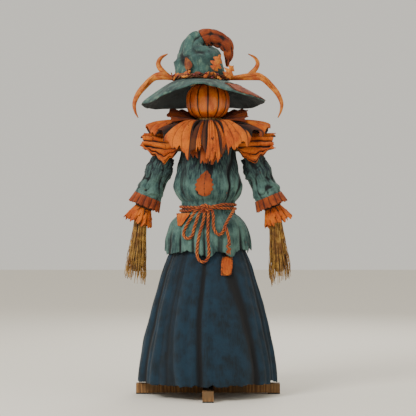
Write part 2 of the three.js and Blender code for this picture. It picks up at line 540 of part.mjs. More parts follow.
// Arms: each hangs from a bolt through the crossbar, in a group whose origin is the pivot.
for (const [side, sign] of [['left', -1], ['right', 1]]) {
  const arm = new THREE.Group();
  arm.position.set(sign * SHOULDER.span, 0, shoulderHeight);
  arm.rotation.y = -sign * THREE.MathUtils.degToRad(SHOULDER.tilt);
  figure.add(arm);
  const battenMiddle = battenBack - BATTEN.thickness / 2;
  const battenBlock = (grow) => block(BATTEN.width + 2 * grow, BATTEN.thickness + 2 * grow,
    BATTEN.above + BATTEN.length + 2 * grow, 0, battenMiddle, -BATTEN.length - grow);
  const pivotHole = crosswise(BOLT.radius + BOLT.clearance, 2 * BATTEN.thickness, 12, 0,
    battenMiddle - BATTEN.thickness, 0);
  add(`arm_batten_${side}`, cut(battenBlock(0), pivotHole), 'timber', arm);

  const sleeveTop = SLEEVE[0][0];
  const sleeve = (angle, rise) => {
    const drop = WRIST + (sleeveTop - WRIST) * rise;
    const radius = between(SLEEVE, drop);
    return around(radius, radius, angle, -drop);
  };
  add(`sleeve_${side}`, clothTube(sleeve, 16, 6), 'tunicCloth', arm);
  const filling = solidBody((angle, rise) => {
    const drop = WRIST - 12 + (sleeveTop + 32 - WRIST) * rise;
    const radius = between(SLEEVE, drop) - CLOTH - 4;
    return around(radius, radius, angle, -drop);
  }, 14, 5);
  add(`sleeve_filling_${side}`, cut(filling, battenBlock(2 * GAP)), 'straw', arm);

  const frill = ({ top, hem, pleats, depth }) => (angle, rise) => {
    const out = 1 - rise;
    const radius = top[1] + (hem[1] - top[1]) * out + wave(angle, pleats, depth * out);
    return around(radius, radius, angle, -(top[0] + (hem[0] - top[0]) * out + wave(angle, 7, 3 * out, sign)));
  };
  add(`cuff_ruffle_${side}`, clothTube(frill(RUFFLE), 27, 2), 'rustCloth', arm);
  add(`cuff_frill_${side}`, clothTube(frill(FRILL), 27, 2), 'orangeCloth', arm);
  add(`wrist_tie_${side}`, ring(TIE.radius, TIE.wire, 6, 14, -WRIST - TIE.below), 'twine', arm);

  const turn = THREE.MathUtils.degToRad(SHOULDER.tilt - HAND.tilt);
  const strawAt = (share) => {
    const long = HAND.start + (HAND.bend + HAND.length - HAND.start) * share;
    const past = Math.max(0, long - HAND.bend);
    const drop = Math.min(long, HAND.bend) + past * Math.cos(turn);
    return new THREE.Vector3(-sign * past * Math.sin(turn), 0, -drop);
  };
  const straw = solidBody((angle, rise) => {
    const share = 1 - rise;
    const radius = between(STRAW, share) + wave(angle, 8, 1.5 * share);
    const middle = strawAt(share);
    return around(radius, radius, angle, middle.z).add(new THREE.Vector3(middle.x, 0, 0));
  }, 16, 8);
  add(`straw_hand_${side}`, cut(straw, battenBlock(2 * GAP)), 'straw', arm);

  const headBack = battenBack - BATTEN.thickness - GAP;
  const bolt = boltShape(BOLT.radius, BOLT.head, BOLT.headHeight, crossbarBack - headBack + BOLT.beyond);
  add(`shoulder_bolt_${side}`, bolt.translate(sign * SHOULDER.span, headBack, shoulderHeight), 'steel');
  const wings = new THREE.Shape(WING_NUT.map(([x, z]) => new THREE.Vector2(x, z)));
  wings.holes.push(new THREE.Path(regularShape(BOLT.radius + GAP, 12).getPoints().reverse()));
  const nutBack = crossbarBack + GAP + NUT.height;
  const wingNut = flatPiece(wings, NUT.height).translate(sign * SHOULDER.span, nutBack, shoulderHeight);
  add(`wing_nut_${side}`, wingNut, 'steel');
}

// Head: a ribbed pumpkin that turns on the spigot.
{
  const { radius, height, lobes, groove, squareness } = PUMPKIN;
  const pumpkin = solidBody((angle, rise) => {
    const tilt = Math.PI * (0.97 * rise + 0.015 - 0.5);
    const rib = 1 - groove * Math.abs(Math.sin((angle * lobes) / 2)) ** 4;
    const across = radius * Math.cos(tilt) ** squareness;
    const dimple = 10 * Math.max(0, 1 - across / (0.5 * radius));
    const rim = (height / 2) * Math.min(1, 1.08 * Math.abs(Math.sin(tilt)) ** squareness);
    return around(across * rib, across * rib, angle, (rim - dimple) * Math.sign(tilt));
  }, 4 * lobes, 10);
  const socket = upright(SPIGOT.radius + SPIGOT.clearance, SPIGOT.length + 4, 20, 0, 0, -height / 2 - 14);
  const middle = pumpkinBase + height / 2;
  add('pumpkin', cut(pumpkin, socket).translate(0, 0, middle), 'pumpkinSkin');
  const stem = limb([[0, pumpkinTop - 4, STEM.radius + 3], [1, pumpkinTop + 6, STEM.radius - 3],
    [5, pumpkinTop + 22, STEM.radius - 5], [13, pumpkinTop + STEM.height - 4, STEM.radius - 3]], 10, 5);
  add('pumpkin_stem', stem, 'stemWood');
}

// Hat: liner, brim, folded crown and its trimmings, all round a middle that lies left of the post.
{
  const hat = new THREE.Group();
  hat.position.set(HAT.shift, 0, hatBase);
  figure.add(hat);
  const inside = (HAT.mouth - HAT.wall) * Math.cos(Math.PI / CROWN_SIDES) - 2;
  const liner = upright(inside, LINER.thickness, 24, 0, 0, linerBase - hatBase);
  const linerHole = upright(LINER.hole, LINER.thickness + 2, 20, -HAT.shift, 0, linerBase - hatBase - 1);
  add('hat_liner', cut(liner, linerHole), 'straw', hat);

  const shares = (angle) => [Math.max(0, Math.cos(angle)), Math.max(0, -Math.cos(angle)),
    Math.max(0, -Math.sin(angle)), Math.max(0, Math.sin(angle))].map((value) => value ** 2);
  const mix = (values, angle) => shares(angle).reduce((sum, share, i) => sum + share * values[i], 0);
  const brim = (angle, rise) => {
    const out = 1 - rise;
    const reach = mix(BRIM.reach, angle) * (1 + wave(angle, 9, 0.012, 1) + wave(angle, 5, 0.012));
    const fall = mix(BRIM.fall, angle);
    const radius = HAT.mouth + 1 + (reach - HAT.mouth) * out;
    const sag = out ** 1.25;
    return around(radius, radius, angle, -fall * sag - 2 * GAP + wave(angle, 4, 3 * out * out));
  };
  add('hat_brim', clothTube(brim, 36, 4, HAT.wall), 'hatFelt', hat);

  const crownRows = CROWN.length - 1;
  const crownInside = limb(CROWN.slice(0, -2), CROWN_SIDES, crownRows - 2, HAT.wall);
  const crownMouth = upright(HAT.mouth - HAT.wall, 14, CROWN_SIDES, 0, 0, -4);
  add('hat_crown', cut(limb(CROWN, CROWN_SIDES, crownRows), crownInside, crownMouth), 'hatFelt', hat);
  const crownTip = cut(limb(CROWN_TIP, 14, CROWN_TIP.length - 1), limb(CROWN, CROWN_SIDES, crownRows, -GAP));
  add('hat_crown_tip', crownTip, 'rustCloth', hat);
  const vineRadius = HAT.mouth + VINE.radius + 4;
  add('hat_vine', ring(vineRadius, VINE.radius, 6, 24, VINE.above), 'vineBark', hat);

  for (const [name, finish, size, angle, off, height, turn, lean] of LEAVES) {
    const [away, aside, tipped] = [angle, turn, lean].map(THREE.MathUtils.degToRad);
    const at = around(HAT.mouth + off, HAT.mouth + off, away, height);
    const leaf = flatPiece(leafShape(...size), LEAF_THICKNESS).rotateY(-tipped).rotateZ(aside);
    add(name, leaf.translate(at.x, at.y, at.z), finish, hat);
  }

  // Corn husks: a long blade falling past the brim and a short one curling up, joined at the root.
  for (const [side, sign] of [['left', -1], ['right', 1]]) {
    const root = vineRadius + VINE.radius + sign * HAT.shift + 2 * GAP;
    const blade = [[root, HUSK.bladeRise], ...HUSK_BLADE];
    const curl = [[root, HUSK.curlRise], ...HUSK_CURL];
    const pieces = [[blade, HUSK.blade], [curl, HUSK.curl]].map(([points, width]) => flatPiece(
      bladeShape(points.map(([x, z]) => [sign * x - HAT.shift, z]), width, 12), CLOTH));
    add(`husk_${side}`, join(pieces[0], pieces[1]).translate(0, CLOTH / 2, 0), 'husk', hat);
  }
}

export default figure;
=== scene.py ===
# A standing scarecrow figure: stuffed tunic over a long robe, pumpkin head, floppy hat, straw hands.
import math
import random
import bmesh
import bpy
from mathutils import Matrix, Vector, noise
from mathutils.bvhtree import BVHTree


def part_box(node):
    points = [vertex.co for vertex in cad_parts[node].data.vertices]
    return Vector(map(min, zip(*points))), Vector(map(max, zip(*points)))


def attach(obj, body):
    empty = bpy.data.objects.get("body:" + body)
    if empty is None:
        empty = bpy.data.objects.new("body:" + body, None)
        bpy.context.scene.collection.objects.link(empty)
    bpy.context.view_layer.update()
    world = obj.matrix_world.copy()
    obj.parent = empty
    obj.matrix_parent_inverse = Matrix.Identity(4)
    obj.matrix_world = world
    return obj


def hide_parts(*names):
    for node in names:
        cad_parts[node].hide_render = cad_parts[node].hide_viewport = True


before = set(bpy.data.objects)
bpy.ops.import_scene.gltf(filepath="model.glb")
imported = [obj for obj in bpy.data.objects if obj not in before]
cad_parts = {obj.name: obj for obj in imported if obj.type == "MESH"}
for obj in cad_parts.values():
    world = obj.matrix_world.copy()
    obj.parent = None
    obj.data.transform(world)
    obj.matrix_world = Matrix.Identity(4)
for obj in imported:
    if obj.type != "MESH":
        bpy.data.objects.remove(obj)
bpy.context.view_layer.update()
mm = 0.001
luck = random.Random(47)


def boxOf(node):
    low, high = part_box(node)
    return Vector(low) / mm, Vector(high) / mm


# Places shared by several pieces, in millimetres, read from the frame.
gap, hatRise = 0.3, 18
neckHeight = boxOf("head_rest")[0].z - gap
pumpkinLow, pumpkinHigh = boxOf("pumpkin")
pumpkinTop = boxOf("hat_liner")[0].z - 2 * gap
hatBase = pumpkinTop + hatRise
hatMiddle = (boxOf("hat_liner")[0].x + boxOf("hat_liner")[1].x) / 2
shoulderHeight = (boxOf("crossbar")[0].z + boxOf("crossbar")[1].z) / 2
shoulderSpan = (boxOf("shoulder_bolt_right")[0].x + boxOf("shoulder_bolt_right")[1].x) / 2
beltLow, beltHigh = boxOf("belt_rope")
waistHeight = (beltLow.z + beltHigh.z) / 2
hemHeight = boxOf("robe")[0].z

# Camera, level with the middle of the figure and straight in front of it.
cameraLook = {"distance": 6.0, "height": 0.775, "field": 1.74}
cameraData = bpy.data.cameras.new("camera")
cameraData.sensor_width = 36
cameraData.lens = 36 * cameraLook["distance"] / cameraLook["field"]
camera = bpy.data.objects.new("camera", cameraData)
camera.location = (0, -cameraLook["distance"], cameraLook["height"])
camera.rotation_euler = (math.pi / 2, 0, 0)
bpy.context.scene.collection.objects.link(camera)
bpy.context.scene.camera = camera


# Material helpers.
def srgb(code):
    parts = [int(code[i:i + 2], 16) / 255 for i in (1, 3, 5)]
    return tuple(p / 12.92 if p <= 0.04045 else ((p + 0.055) / 1.055) ** 2.4 for p in parts) + (1.0,)


def addNode(tree, kind, inputs=None, **settings):
    node = tree.nodes.new(kind)
    for key, value in settings.items():
        setattr(node, key, value)
    for key, value in (inputs or {}).items():
        if isinstance(value, bpy.types.NodeSocket):
            tree.links.new(value, node.inputs[key])
        else:
            node.inputs[key].default_value = value
    return node


def startMaterial(name, roughness, **shine):
    material = bpy.data.materials.new(name)
    material.use_nodes = True
    tree = material.node_tree
    tree.nodes.clear()
    output = addNode(tree, "ShaderNodeOutputMaterial")
    shader = addNode(tree, "ShaderNodeBsdfPrincipled", {"Roughness": roughness})
    for key, value in shine.items():
        shader.inputs[key.replace("_", " ")].default_value = value
    tree.links.new(shader.outputs[0], output.inputs["Surface"])
    return material, tree, shader


def blendColour(tree, factor, first, second):
    # each colour is a socket or a hex code
    first, second = [srgb(colour) if isinstance(colour, str) else colour for colour in (first, second)]
    return addNode(tree, "ShaderNodeMix", {0: factor, 6: first, 7: second}, data_type="RGBA").outputs[2]


def endMaterial(material, shader, colour, height, depth, strength=0.6):
    tree = material.node_tree
    tree.links.new(colour, shader.inputs["Base Color"])
    bump = addNode(tree, "ShaderNodeBump", {"Height": height, "Distance": depth * mm, "Strength": strength})
    tree.links.new(bump.outputs[0], shader.inputs["Normal"])
    return material


def layOf(tree):
    return addNode(tree, "ShaderNodeUVMap", uv_map="lay").outputs[0]


def spaceOf(tree):
    return addNode(tree, "ShaderNodeTexCoord").outputs["Object"]


def shadeOf(tree):
    return addNode(tree, "ShaderNodeAttribute", attribute_name="shade").outputs["Fac"]


def noiseOn(tree, vector, size, detail=3.0, rough=0.55):
    # size is the width of one patch of the pattern, in millimetres
    settings = {"Vector": vector, "Scale": 1 / (size * mm), "Detail": detail, "Roughness": rough}
    return addNode(tree, "ShaderNodeTexNoise", settings).outputs["Fac"]


def stretch(tree, vector, scale):
    return addNode(tree, "ShaderNodeMapping", {"Vector": vector, "Scale": scale}).outputs[0]


def maths(tree, operation, *values):
    return addNode(tree, "ShaderNodeMath", dict(enumerate(values)), operation=operation).outputs[0]


def ramp(tree, value, low, high):
    return addNode(tree, "ShaderNodeMapRange",
                   {"Value": value, "From Min": low, "From Max": high},
                   interpolation_type="SMOOTHSTEP").outputs[0]


def wovenCloth(name, deep, body, worn, thread, fleck=None, top=None):
    # Homespun cotton, dyed by hand: dull, uneven in colour, with painted shade darkening its folds, and
    # paler where it rubs.
    material, tree, shader = startMaterial(name, 0.92, Sheen_Weight=0.06, Sheen_Roughness=0.5)
    lay, space, shade = layOf(tree), spaceOf(tree), shadeOf(tree)
    blotch = noiseOn(tree, space, 55, 4.0)
    streaks = noiseOn(tree, stretch(tree, lay, (1.0, 0.16, 1.0)), 7, 3.0, 0.65)
    fibre = noiseOn(tree, space, 5, 3.0, 0.7)
    colour = blendColour(tree, ramp(tree, blotch, 0.36, 0.66), body, worn)
    # painted shade: the optional top colour darkens the cloth towards the top of the figure, a painted
    # shadow from the collar and capes above
    if top:
        height = addNode(tree, "ShaderNodeSeparateXYZ", {0: space}).outputs[2]
        wander = maths(tree, "MULTIPLY_ADD", blotch, 0.12, height)
        colour = blendColour(tree, ramp(tree, wander, top[1] * mm, top[2] * mm), colour, top[0])
    rubbed = blendColour(tree, 0.45, colour, worn)
    colour = blendColour(tree, ramp(tree, streaks, 0.42, 0.6), colour, rubbed)
    if fleck:
        spots = noiseOn(tree, stretch(tree, space, (1.0, 1.0, 0.35)), 15, 5.0, 0.7)
        colour = blendColour(tree, ramp(tree, spots, fleck[1], fleck[1] + 0.05), colour, fleck[0])
    colour = blendColour(tree, ramp(tree, fibre, 0.3, 0.45), blendColour(tree, 0.35, colour, deep), colour)
    # painted shade: the shade attribute darkens folds and hollows towards the deep colour
    colour = blendColour(tree, ramp(tree, shade, 0.0, 0.62), deep, colour)
    # Warp and weft threads cross as two sets of bands; drawn coarse so that they show.
    bands = {"Vector": lay, "Scale": 0.314 / (thread * mm), "Distortion": 1.2, "Detail": 1.0}
    warp, weft = [addNode(tree, "ShaderNodeTexWave", bands, bands_direction=way).outputs["Fac"]
                  for way in ("X", "Y")]
    height = maths(tree, "MULTIPLY_ADD", maths(tree, "MULTIPLY", warp, weft), 0.5, fibre)
    height = maths(tree, "MULTIPLY_ADD", streaks, 0.9, height)
    return endMaterial(material, shader, colour, height, 1.1, 0.75)


def fibreFinish(name, deep, body, pale, along, roughness, depth, source="lay", sheen=0.0):
    # Long parallel fibres: straw, rope yarn, husk, bark. Each length of it has a tone of its own.
    material, tree, shader = startMaterial(name, roughness, Sheen_Weight=sheen)
    lay, space, shade = layOf(tree), spaceOf(tree), shadeOf(tree)
    grain = noiseOn(tree, stretch(tree, lay if source == "lay" else space, along), 3, 3.0, 0.7)
    mottle = noiseOn(tree, space, 26, 4.0)
    colour = blendColour(tree, ramp(tree, mottle, 0.35, 0.65), body, pale)
    colour = blendColour(tree, ramp(tree, grain, 0.35, 0.6), blendColour(tree, 0.5, colour, deep), colour)
    # the shade attribute darkens towards the deep colour: painted shade in rope grooves, stem and husk
    # valleys, straw roots and the hand's core; on leaves and twigs it carries their own veins and tone
    colour = blendColour(tree, ramp(tree, shade, 0.0, 0.75), deep, colour)
    return endMaterial(material, shader, colour, grain, depth, 0.7)


def hatFelt():
    # Wool felt, fulled and weathered: matted fibre, cloudy greens, pale rubbed spots.
    material, tree, shader = startMaterial("wool_felt", 0.95, Sheen_Weight=0.1, Sheen_Roughness=0.6)
    space, shade = spaceOf(tree), shadeOf(tree)
    cloud = noiseOn(tree, space, 70, 5.0, 0.6)
    patch = noiseOn(tree, stretch(tree, space, (1.0, 1.0, 0.5)), 22, 4.0, 0.65)
    matting = noiseOn(tree, space, 4, 4.0, 0.75)
    colour = blendColour(tree, ramp(tree, cloud, 0.35, 0.65), "#1b3535", "#3a5d57")
    colour = blendColour(tree, ramp(tree, patch, 0.5, 0.68), colour, "#5d7868")
    colour = blendColour(tree, ramp(tree, patch, 0.42, 0.3), colour, "#0c1d21")
    dark = blendColour(tree, 0.4, colour, "#16282b")
    colour = blendColour(tree, ramp(tree, matting, 0.34, 0.5), dark, colour)
    # painted shade: the shade attribute darkens the crown's creases and dent and the brim where it meets the
    # crown, with a random mottle on the brim
    colour = blendColour(tree, ramp(tree, shade, 0.0, 0.6), "#081215", colour)
    return endMaterial(material, shader, colour, matting, 1.4, 0.8)


def pumpkinSkin():
    # Ripe rind: waxy and orange with fine pale freckles; painted shade turns it dark brown in the grooves
    # and at the top and bottom.
    material, tree, shader = startMaterial("pumpkin_rind", 0.42, Coat_Weight=0.12, Coat_Roughness=0.3)
    space, shade = spaceOf(tree), shadeOf(tree)
    blush = noiseOn(tree, stretch(tree, space, (1.0, 1.0, 0.3)), 32, 4.0)
    freckle = noiseOn(tree, space, 3.5, 2.0, 0.8)
    colour = blendColour(tree, ramp(tree, blush, 0.35, 0.68), "#a84205", "#d66c0c")
    colour = blendColour(tree, ramp(tree, freckle, 0.6, 0.68), colour, "#e2953c")
    colour = blendColour(tree, ramp(tree, freckle, 0.36, 0.28), colour, "#83370a")
    # painted shade: dark brown in the grooves and at the top and bottom, from the shade attribute
    colour = blendColour(tree, ramp(tree, shade, 0.0, 0.5), "#2a0e03", colour)
    return endMaterial(material, shader, colour, freckle, 0.5, 0.5)


def timberFinish():
    # Sawn softwood, brown with age: growth rings run with the board, dull and slightly furry.
    material, tree, shader = startMaterial("sawn_pine", 0.78)
    space = spaceOf(tree)
    rings = {"Vector": stretch(tree, space, (1.0, 1.0, 0.12)), "Scale": 22.0, "Distortion": 7.0,
             "Detail": 3.0, "Detail Scale": 1.6}
    grain = addNode(tree, "ShaderNodeTexWave", rings).outputs["Fac"]
    pores = noiseOn(tree, stretch(tree, space, (1.0, 1.0, 0.06)), 2.5, 3.0, 0.7)
    stain = noiseOn(tree, space, 90, 3.0)
    colour = blendColour(tree, grain, "#6f4a26", "#a87a47")
    dark = blendColour(tree, 0.5, colour, "#46301a")
    colour = blendColour(tree, ramp(tree, pores, 0.35, 0.6), dark, colour)
    colour = blendColour(tree, ramp(tree, stain, 0.5, 0.75), colour, "#6b5030")
    return endMaterial(material, shader, colour, pores, 0.5, 0.5)


def steelFinish():
    # Hot-dip galvanised steel: grey spangle in patches a few millimetres wide.
    material, tree, shader = startMaterial("galvanised_steel", 0.42, Metallic=1.0)
    space = spaceOf(tree)
    spangle = addNode(tree, "ShaderNodeTexVoronoi", {"Vector": space, "Scale": 160.0}).outputs["Distance"]
    dull = noiseOn(tree, space, 9, 3.0)
    colour = blendColour(tree, ramp(tree, spangle, 0.1, 0.7), "#b9bcbe", "#8e9294")
    colour = blendColour(tree, ramp(tree, dull, 0.45, 0.7), colour, "#7a7d7c")
    return endMaterial(material, shader, colour, dull, 0.1, 0.4)


def rubberFinish():
    # Moulded rubber: black, dull, with a fine dusty grain.
    material, tree, shader = startMaterial("moulded_rubber", 0.85)
    space = spaceOf(tree)
    dust = noiseOn(tree, space, 2, 3.0)
    colour = blendColour(tree, ramp(tree, dust, 0.4, 0.7), "#1b1b1c", "#2d2c2a")
    return endMaterial(material, shader, colour, dust, 0.2)


def berrySkin():
    # Dried rose hips: dark red, wrinkled, with a soft gloss.
    material, tree, shader = startMaterial("dried_berry", 0.38)
    space = spaceOf(tree)
    wrinkle = noiseOn(tree, space, 2.2, 3.0)
    colour = blendColour(tree, ramp(tree, wrinkle, 0.35, 0.65), "#3d0f16", "#8a2026")
    return endMaterial(material, shader, colour, wrinkle, 0.4)


# the tunic's last argument is painted shade: dark navy from 915 to 1010 mm up, under the collar
tunicCloth = wovenCloth("teal_homespun", "#02080c", "#1a3638", "#54756c", 3, ("#7c3c17", 0.66),
                        ("#061420", 915, 1010))
robeCloth = wovenCloth("blue_homespun", "#010308", "#03151f", "#08293b", 3.4, ("#1c3f47", 0.71))
orangeCloth = wovenCloth("orange_hessian", "#100401", "#a34004", "#d06a0e", 4, ("#5c2106", 0.6))
rustCloth = wovenCloth("rust_hessian", "#0c0402", "#6a2406", "#9c4610", 4)
# A near-black cloth laid on the brim's underside as painted shade.
paintedBrimShade = wovenCloth("brim_underside_painted_shade", "#020406", "#0a161b", "#14262b", 2)
ropeFibre = fibreFinish("dyed_jute_rope", "#120502", "#a03e08", "#d06a1c", (1.0, 0.25, 1.0), 0.88, 0.8,
                        sheen=0.1)
twineFibre = fibreFinish("jute_twine", "#120803", "#452611", "#6f4825", (1.0, 0.25, 1.0), 0.9, 0.6)
strawFibre = fibreFinish("oat_straw", "#261404", "#87561a", "#cf9d47", (1.0, 0.06, 1.0), 0.6, 0.3)
wadding = fibreFinish("straw_wadding", "#3d2409", "#8f6227", "#c99b4b", (1.0, 1.0, 0.1), 0.85, 2.0,
                      source="space")
stemSkin = fibreFinish("pumpkin_stem", "#262309", "#5f5a29", "#8b8243", (1.0, 0.1, 1.0), 0.7, 0.8)
vineBark = fibreFinish("vine_bark", "#1c0c06", "#5e2f16", "#8a5228", (1.0, 0.12, 1.0), 0.85, 0.9)
huskFibre = fibreFinish("maize_husk", "#3a1304", "#b04c0c", "#e08829", (1.0, 0.04, 1.0), 0.72, 0.5)
leafOrange = fibreFinish("dried_leaf_orange", "#3f1404", "#bb4f0d", "#e58a26", (1.0, 1.0, 1.0), 0.7, 0.3,
                         source="space")
leafBrown = fibreFinish("dried_leaf_brown", "#220c03", "#703010", "#9d5722", (1.0, 1.0, 1.0), 0.75, 0.3,
                        source="space")
threadDark = fibreFinish("waxed_thread", "#120b07", "#2b1b12", "#4a3524", (1.0, 0.3, 1.0), 0.8, 0.3)
felt, rind, timber, steel = hatFelt(), pumpkinSkin(), timberFinish(), steelFinish()
rubber, berry = rubberFinish(), berrySkin()
print("materials made")


# Shape helpers. Places are in millimetres until a piece is finished.
def around(halfWidth, halfDepth, angle, height):
    return Vector((halfWidth * math.sin(angle), -halfDepth * math.cos(angle), height))


def between(table, key):
    if key <= table[0][0]:
        return table[0][1]
    for (lowKey, lowValue), (highKey, highValue) in zip(table, table[1:]):
        if key <= highKey:
            return lowValue + (highValue - lowValue) * (key - lowKey) / (highKey - lowKey)
    return table[-1][1]


def eased(table, key):
    # the table read with its corners rounded off
    return sum(between(table, key + step) for step in (-12, -6, 0, 6, 12)) / 5


def pleat(phase):
    # 0 in a sharp valley, 1 on a round ridge
    return abs(math.sin(phase / 2))


def noiseAt(x, y, z):
    return noise.noise(Vector((x, y, z)))


def rough(angle, height, size, turns=1.0):
    return noiseAt(math.sin(angle) * turns, math.cos(angle) * turns, height / size)


def finishPiece(name, mesh, material, body, nodes=(), thickness=0.0, levels=0, undersideShade=None):
    data = bpy.data.meshes.new(name)
    for face in mesh.faces:
        face.smooth = True
    mesh.to_mesh(data)
    mesh.free()
    data.materials.append(material)
    piece = bpy.data.objects.new(name, data)
    bpy.context.scene.collection.objects.link(piece)
    if thickness:
        wall = piece.modifiers.new("wall", "SOLIDIFY")
        wall.thickness = thickness * mm
        wall.offset = -1
        # the inner face of the wall takes this second material; on the brim it is painted shade under the
        # brim
        if undersideShade:
            data.materials.append(undersideShade)
            wall.material_offset = 1
    if levels:
        rounding = piece.modifiers.new("rounding", "SUBSURF")
        rounding.levels = levels
        rounding.render_levels = levels
    if nodes:
        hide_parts(*nodes)
    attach(piece, body)
    return piece


surfaces = {}


def clothMesh(columns, rows, place, size, closed=True, mesh=None):
    # A grid laid on a surface: place(u, v) gives its outer side and how open the fold is, v = 0 at the hem;
    # that second value goes into the shade attribute and is mostly painted as shade in folds and hollows.
    grid = bmesh.new()
    bmesh.ops.create_grid(grid, x_segments=columns, y_segments=rows, size=0.5)
    lay = grid.loops.layers.uv.new("lay")
    shade = grid.verts.layers.float.new("shade")
    for face in grid.faces:
        for loop in face.loops:
            loop[lay].uv = ((loop.vert.co.x + 0.5) * size[0] * mm, (loop.vert.co.y + 0.5) * size[1] * mm)
    for vert in grid.verts:
        point, openness = place(vert.co.x + 0.5, vert.co.y + 0.5)
        vert.co = point * mm
        vert[shade] = openness
    if closed:
        bmesh.ops.remove_doubles(grid, verts=grid.verts[:], dist=1e-6)
    if mesh is None:
        return grid
    data = bpy.data.meshes.new("part")
    grid.to_mesh(data)
    grid.free()
    mesh.from_mesh(data)
    bpy.data.meshes.remove(data)
    return mesh


def emptyMesh():
    mesh = bmesh.new()
    mesh.loops.layers.uv.new("lay")
    mesh.verts.layers.float.new("shade")
    return mesh


def smoothPath(points, spacing):
    # Even points on a smooth curve through the given ones.
    points = [Vector(point) for point in points]
    knots = [0.0]
    for first, second in zip(points, points[1:]):
        knots.append(knots[-1] + math.sqrt((second - first).length))
    last = len(points) - 1
    pulls = [(points[min(i + 1, last)] - points[max(i - 1, 0)])
             / (knots[min(i + 1, last)] - knots[max(i - 1, 0)]) for i in range(last + 1)]
    dense = []
    for i in range(last):
        span = knots[i + 1] - knots[i]
        for step in range(24):
            t = step / 24
            dense.append(points[i] * (2 * t ** 3 - 3 * t ** 2 + 1)
                         + pulls[i] * span * (t ** 3 - 2 * t ** 2 + t)
                         + points[i + 1] * (3 * t ** 2 - 2 * t ** 3)
                         + pulls[i + 1] * span * (t ** 3 - t ** 2))
    dense.append(points[-1])
    reach = [0.0]
    for first, second in zip(dense, dense[1:]):
        reach.append(reach[-1] + (second - first).length)
    count = max(2, round(reach[-1] / spacing))
    even, index = [], 0
    for step in range(count + 1):
        want = reach[-1] * step / count
        while index < len(dense) - 2 and reach[index + 1] < want:
            index += 1
        share = (want - reach[index]) / max(1e-9, reach[index + 1] - reach[index])
        even.append(dense[index].lerp(dense[index + 1], min(1.0, share)))
    return even


def pathLength(path):
    return sum((second - first).length for first, second in zip(path, path[1:]))


def pathFrames(path):
    frames, upward = [], None
    for index in range(len(path)):
        tangent = (path[min(index + 1, len(path) - 1)] - path[max(index - 1, 0)]).normalized()
        if upward is None:
            upward = tangent.orthogonal().normalized()
        upward = (upward - tangent * upward.dot(tangent)).normalized()
        frames.append((upward.cross(tangent), upward))
    return frames


tubeShells = {}


def tubeShell(sides, steps):
    # A unit tube along Z with closed ends, kept so that hundreds of stalks can share it.
    if (sides, steps) in tubeShells:
        return tubeShells[sides, steps]
    shell = bmesh.new()
    bmesh.ops.create_grid(shell, x_segments=sides, y_segments=steps, size=0.5)
    lay = shell.loops.layers.uv.new("lay")
    for face in shell.faces:
        for loop in face.loops:
            loop[lay].uv = (loop.vert.co.x + 0.5, loop.vert.co.y + 0.5)
    for vert in shell.verts:
        turn = 2 * math.pi * (vert.co.x + 0.5)
        vert.co = (math.cos(turn), math.sin(turn), vert.co.y + 0.5)
    bmesh.ops.remove_doubles(shell, verts=shell.verts[:], dist=1e-5)
    bmesh.ops.holes_fill(shell, edges=[edge for edge in shell.edges if edge.is_boundary], sides=0)
    data = bpy.data.meshes.new("tube")
    shell.to_mesh(data)
    shell.free()
    tubeShells[sides, steps] = data
    return data


def sweep(mesh, path, sides, skin):
    # A round length along a path; skin(share, angle) gives its radius and shade.
    steps = len(path) - 1
    vertsBefore, facesBefore = len(mesh.verts), len(mesh.faces)
    mesh.from_mesh(tubeShell(sides, steps))
    mesh.verts.ensure_lookup_table()
    mesh.faces.ensure_lookup_table()
    lay, shade = mesh.loops.layers.uv["lay"], mesh.verts.layers.float["shade"]
    frames, length = pathFrames(path), pathLength(path)
    widest = skin(0.5, 0)[0]
    for vert in mesh.verts[vertsBefore:]:
        step = round(vert.co.z * steps)
        angle = math.atan2(vert.co.y, vert.co.x)
        sideways, upward = frames[step]
        reach, openness = skin(step / steps, angle)
        vert.co = (path[step] + (sideways * math.cos(angle) + upward * math.sin(angle)) * reach) * mm
        vert[shade] = openness
    for face in mesh.faces[facesBefore:]:
        for loop in face.loops:
            turned, along = loop[lay].uv
            loop[lay].uv = (turned * 2 * math.pi * widest * mm, along * length * mm)


# Cords: the rope round the waist, its knot, three loops and one loose end, laid from three strands.
ropeLook = {"radius": 6.0, "strands": 3, "turnLength": 51.0, "groove": 0.45, "spacing": 1.8,
            "knotRadius": 6.2}
endLook = {"coil": 6.0, "yarn": 4.4, "rise": 9, "pitch": 3.6, "strands": 9}
beltLook = {"turns": 2, "pitch": 16, "steps": 36, "clear": 8, "tuck": 14, "tuckSteps": 3.5}
routes = {
    "rope_loop_left": [(-20, -119, 11), (-52, -121, -16), (-82, -124, -62), (-98, -124, -96),
                       (-97, -130, -118), (-80, -138, -126), (-64, -140, -112), (-57, -141, -84),
                       (-47, -138, -54), (-38, -128, -27), (-24, -119, -10)],
    "rope_loop_center": [(-15, -119, -4), (-16, -130, -36), (-22, -142, -64), (-38, -152, -121),
                         (-45, -156, -183), (-38, -158, -210), (-20, -158, -221), (-3, -158, -210),
                         (4, -157, -183), (0, -153, -121), (0, -142, -64), (1, -130, -36), (3, -119, -4)],
    "rope_loop_right": [(2, -120, 4), (17, -122, -12), (22, -131, -38), (22, -142, -72), (30, -148, -98),
                        (46, -148, -110), (62, -142, -98), (70, -136, -74), (86, -117, -44),
                        (100, -92, -22), (109, -66, -6)],
    "rope_tail": [(71, -140, -76), (76, -149, -90), (82, -149, -112), (86, -148, -136), (84, -149, -156)],
}


def ropeSkin(length, radius=ropeLook["radius"]):
    turns = length / ropeLook["turnLength"]

    def skin(share, angle):
        lobe = abs(math.cos(ropeLook["strands"] / 2 * (angle - 2 * math.pi * turns * share)))
        # the second value is painted shade, dark in the grooves between the strands
        return radius * (1.04 - ropeLook["groove"] * (1 - lobe ** 0.6)), lobe ** 1.7
    return skin


def layRope(mesh, path, radius=ropeLook["radius"], sides=18):
    sweep(mesh, path, sides, ropeSkin(pathLength(path), radius))


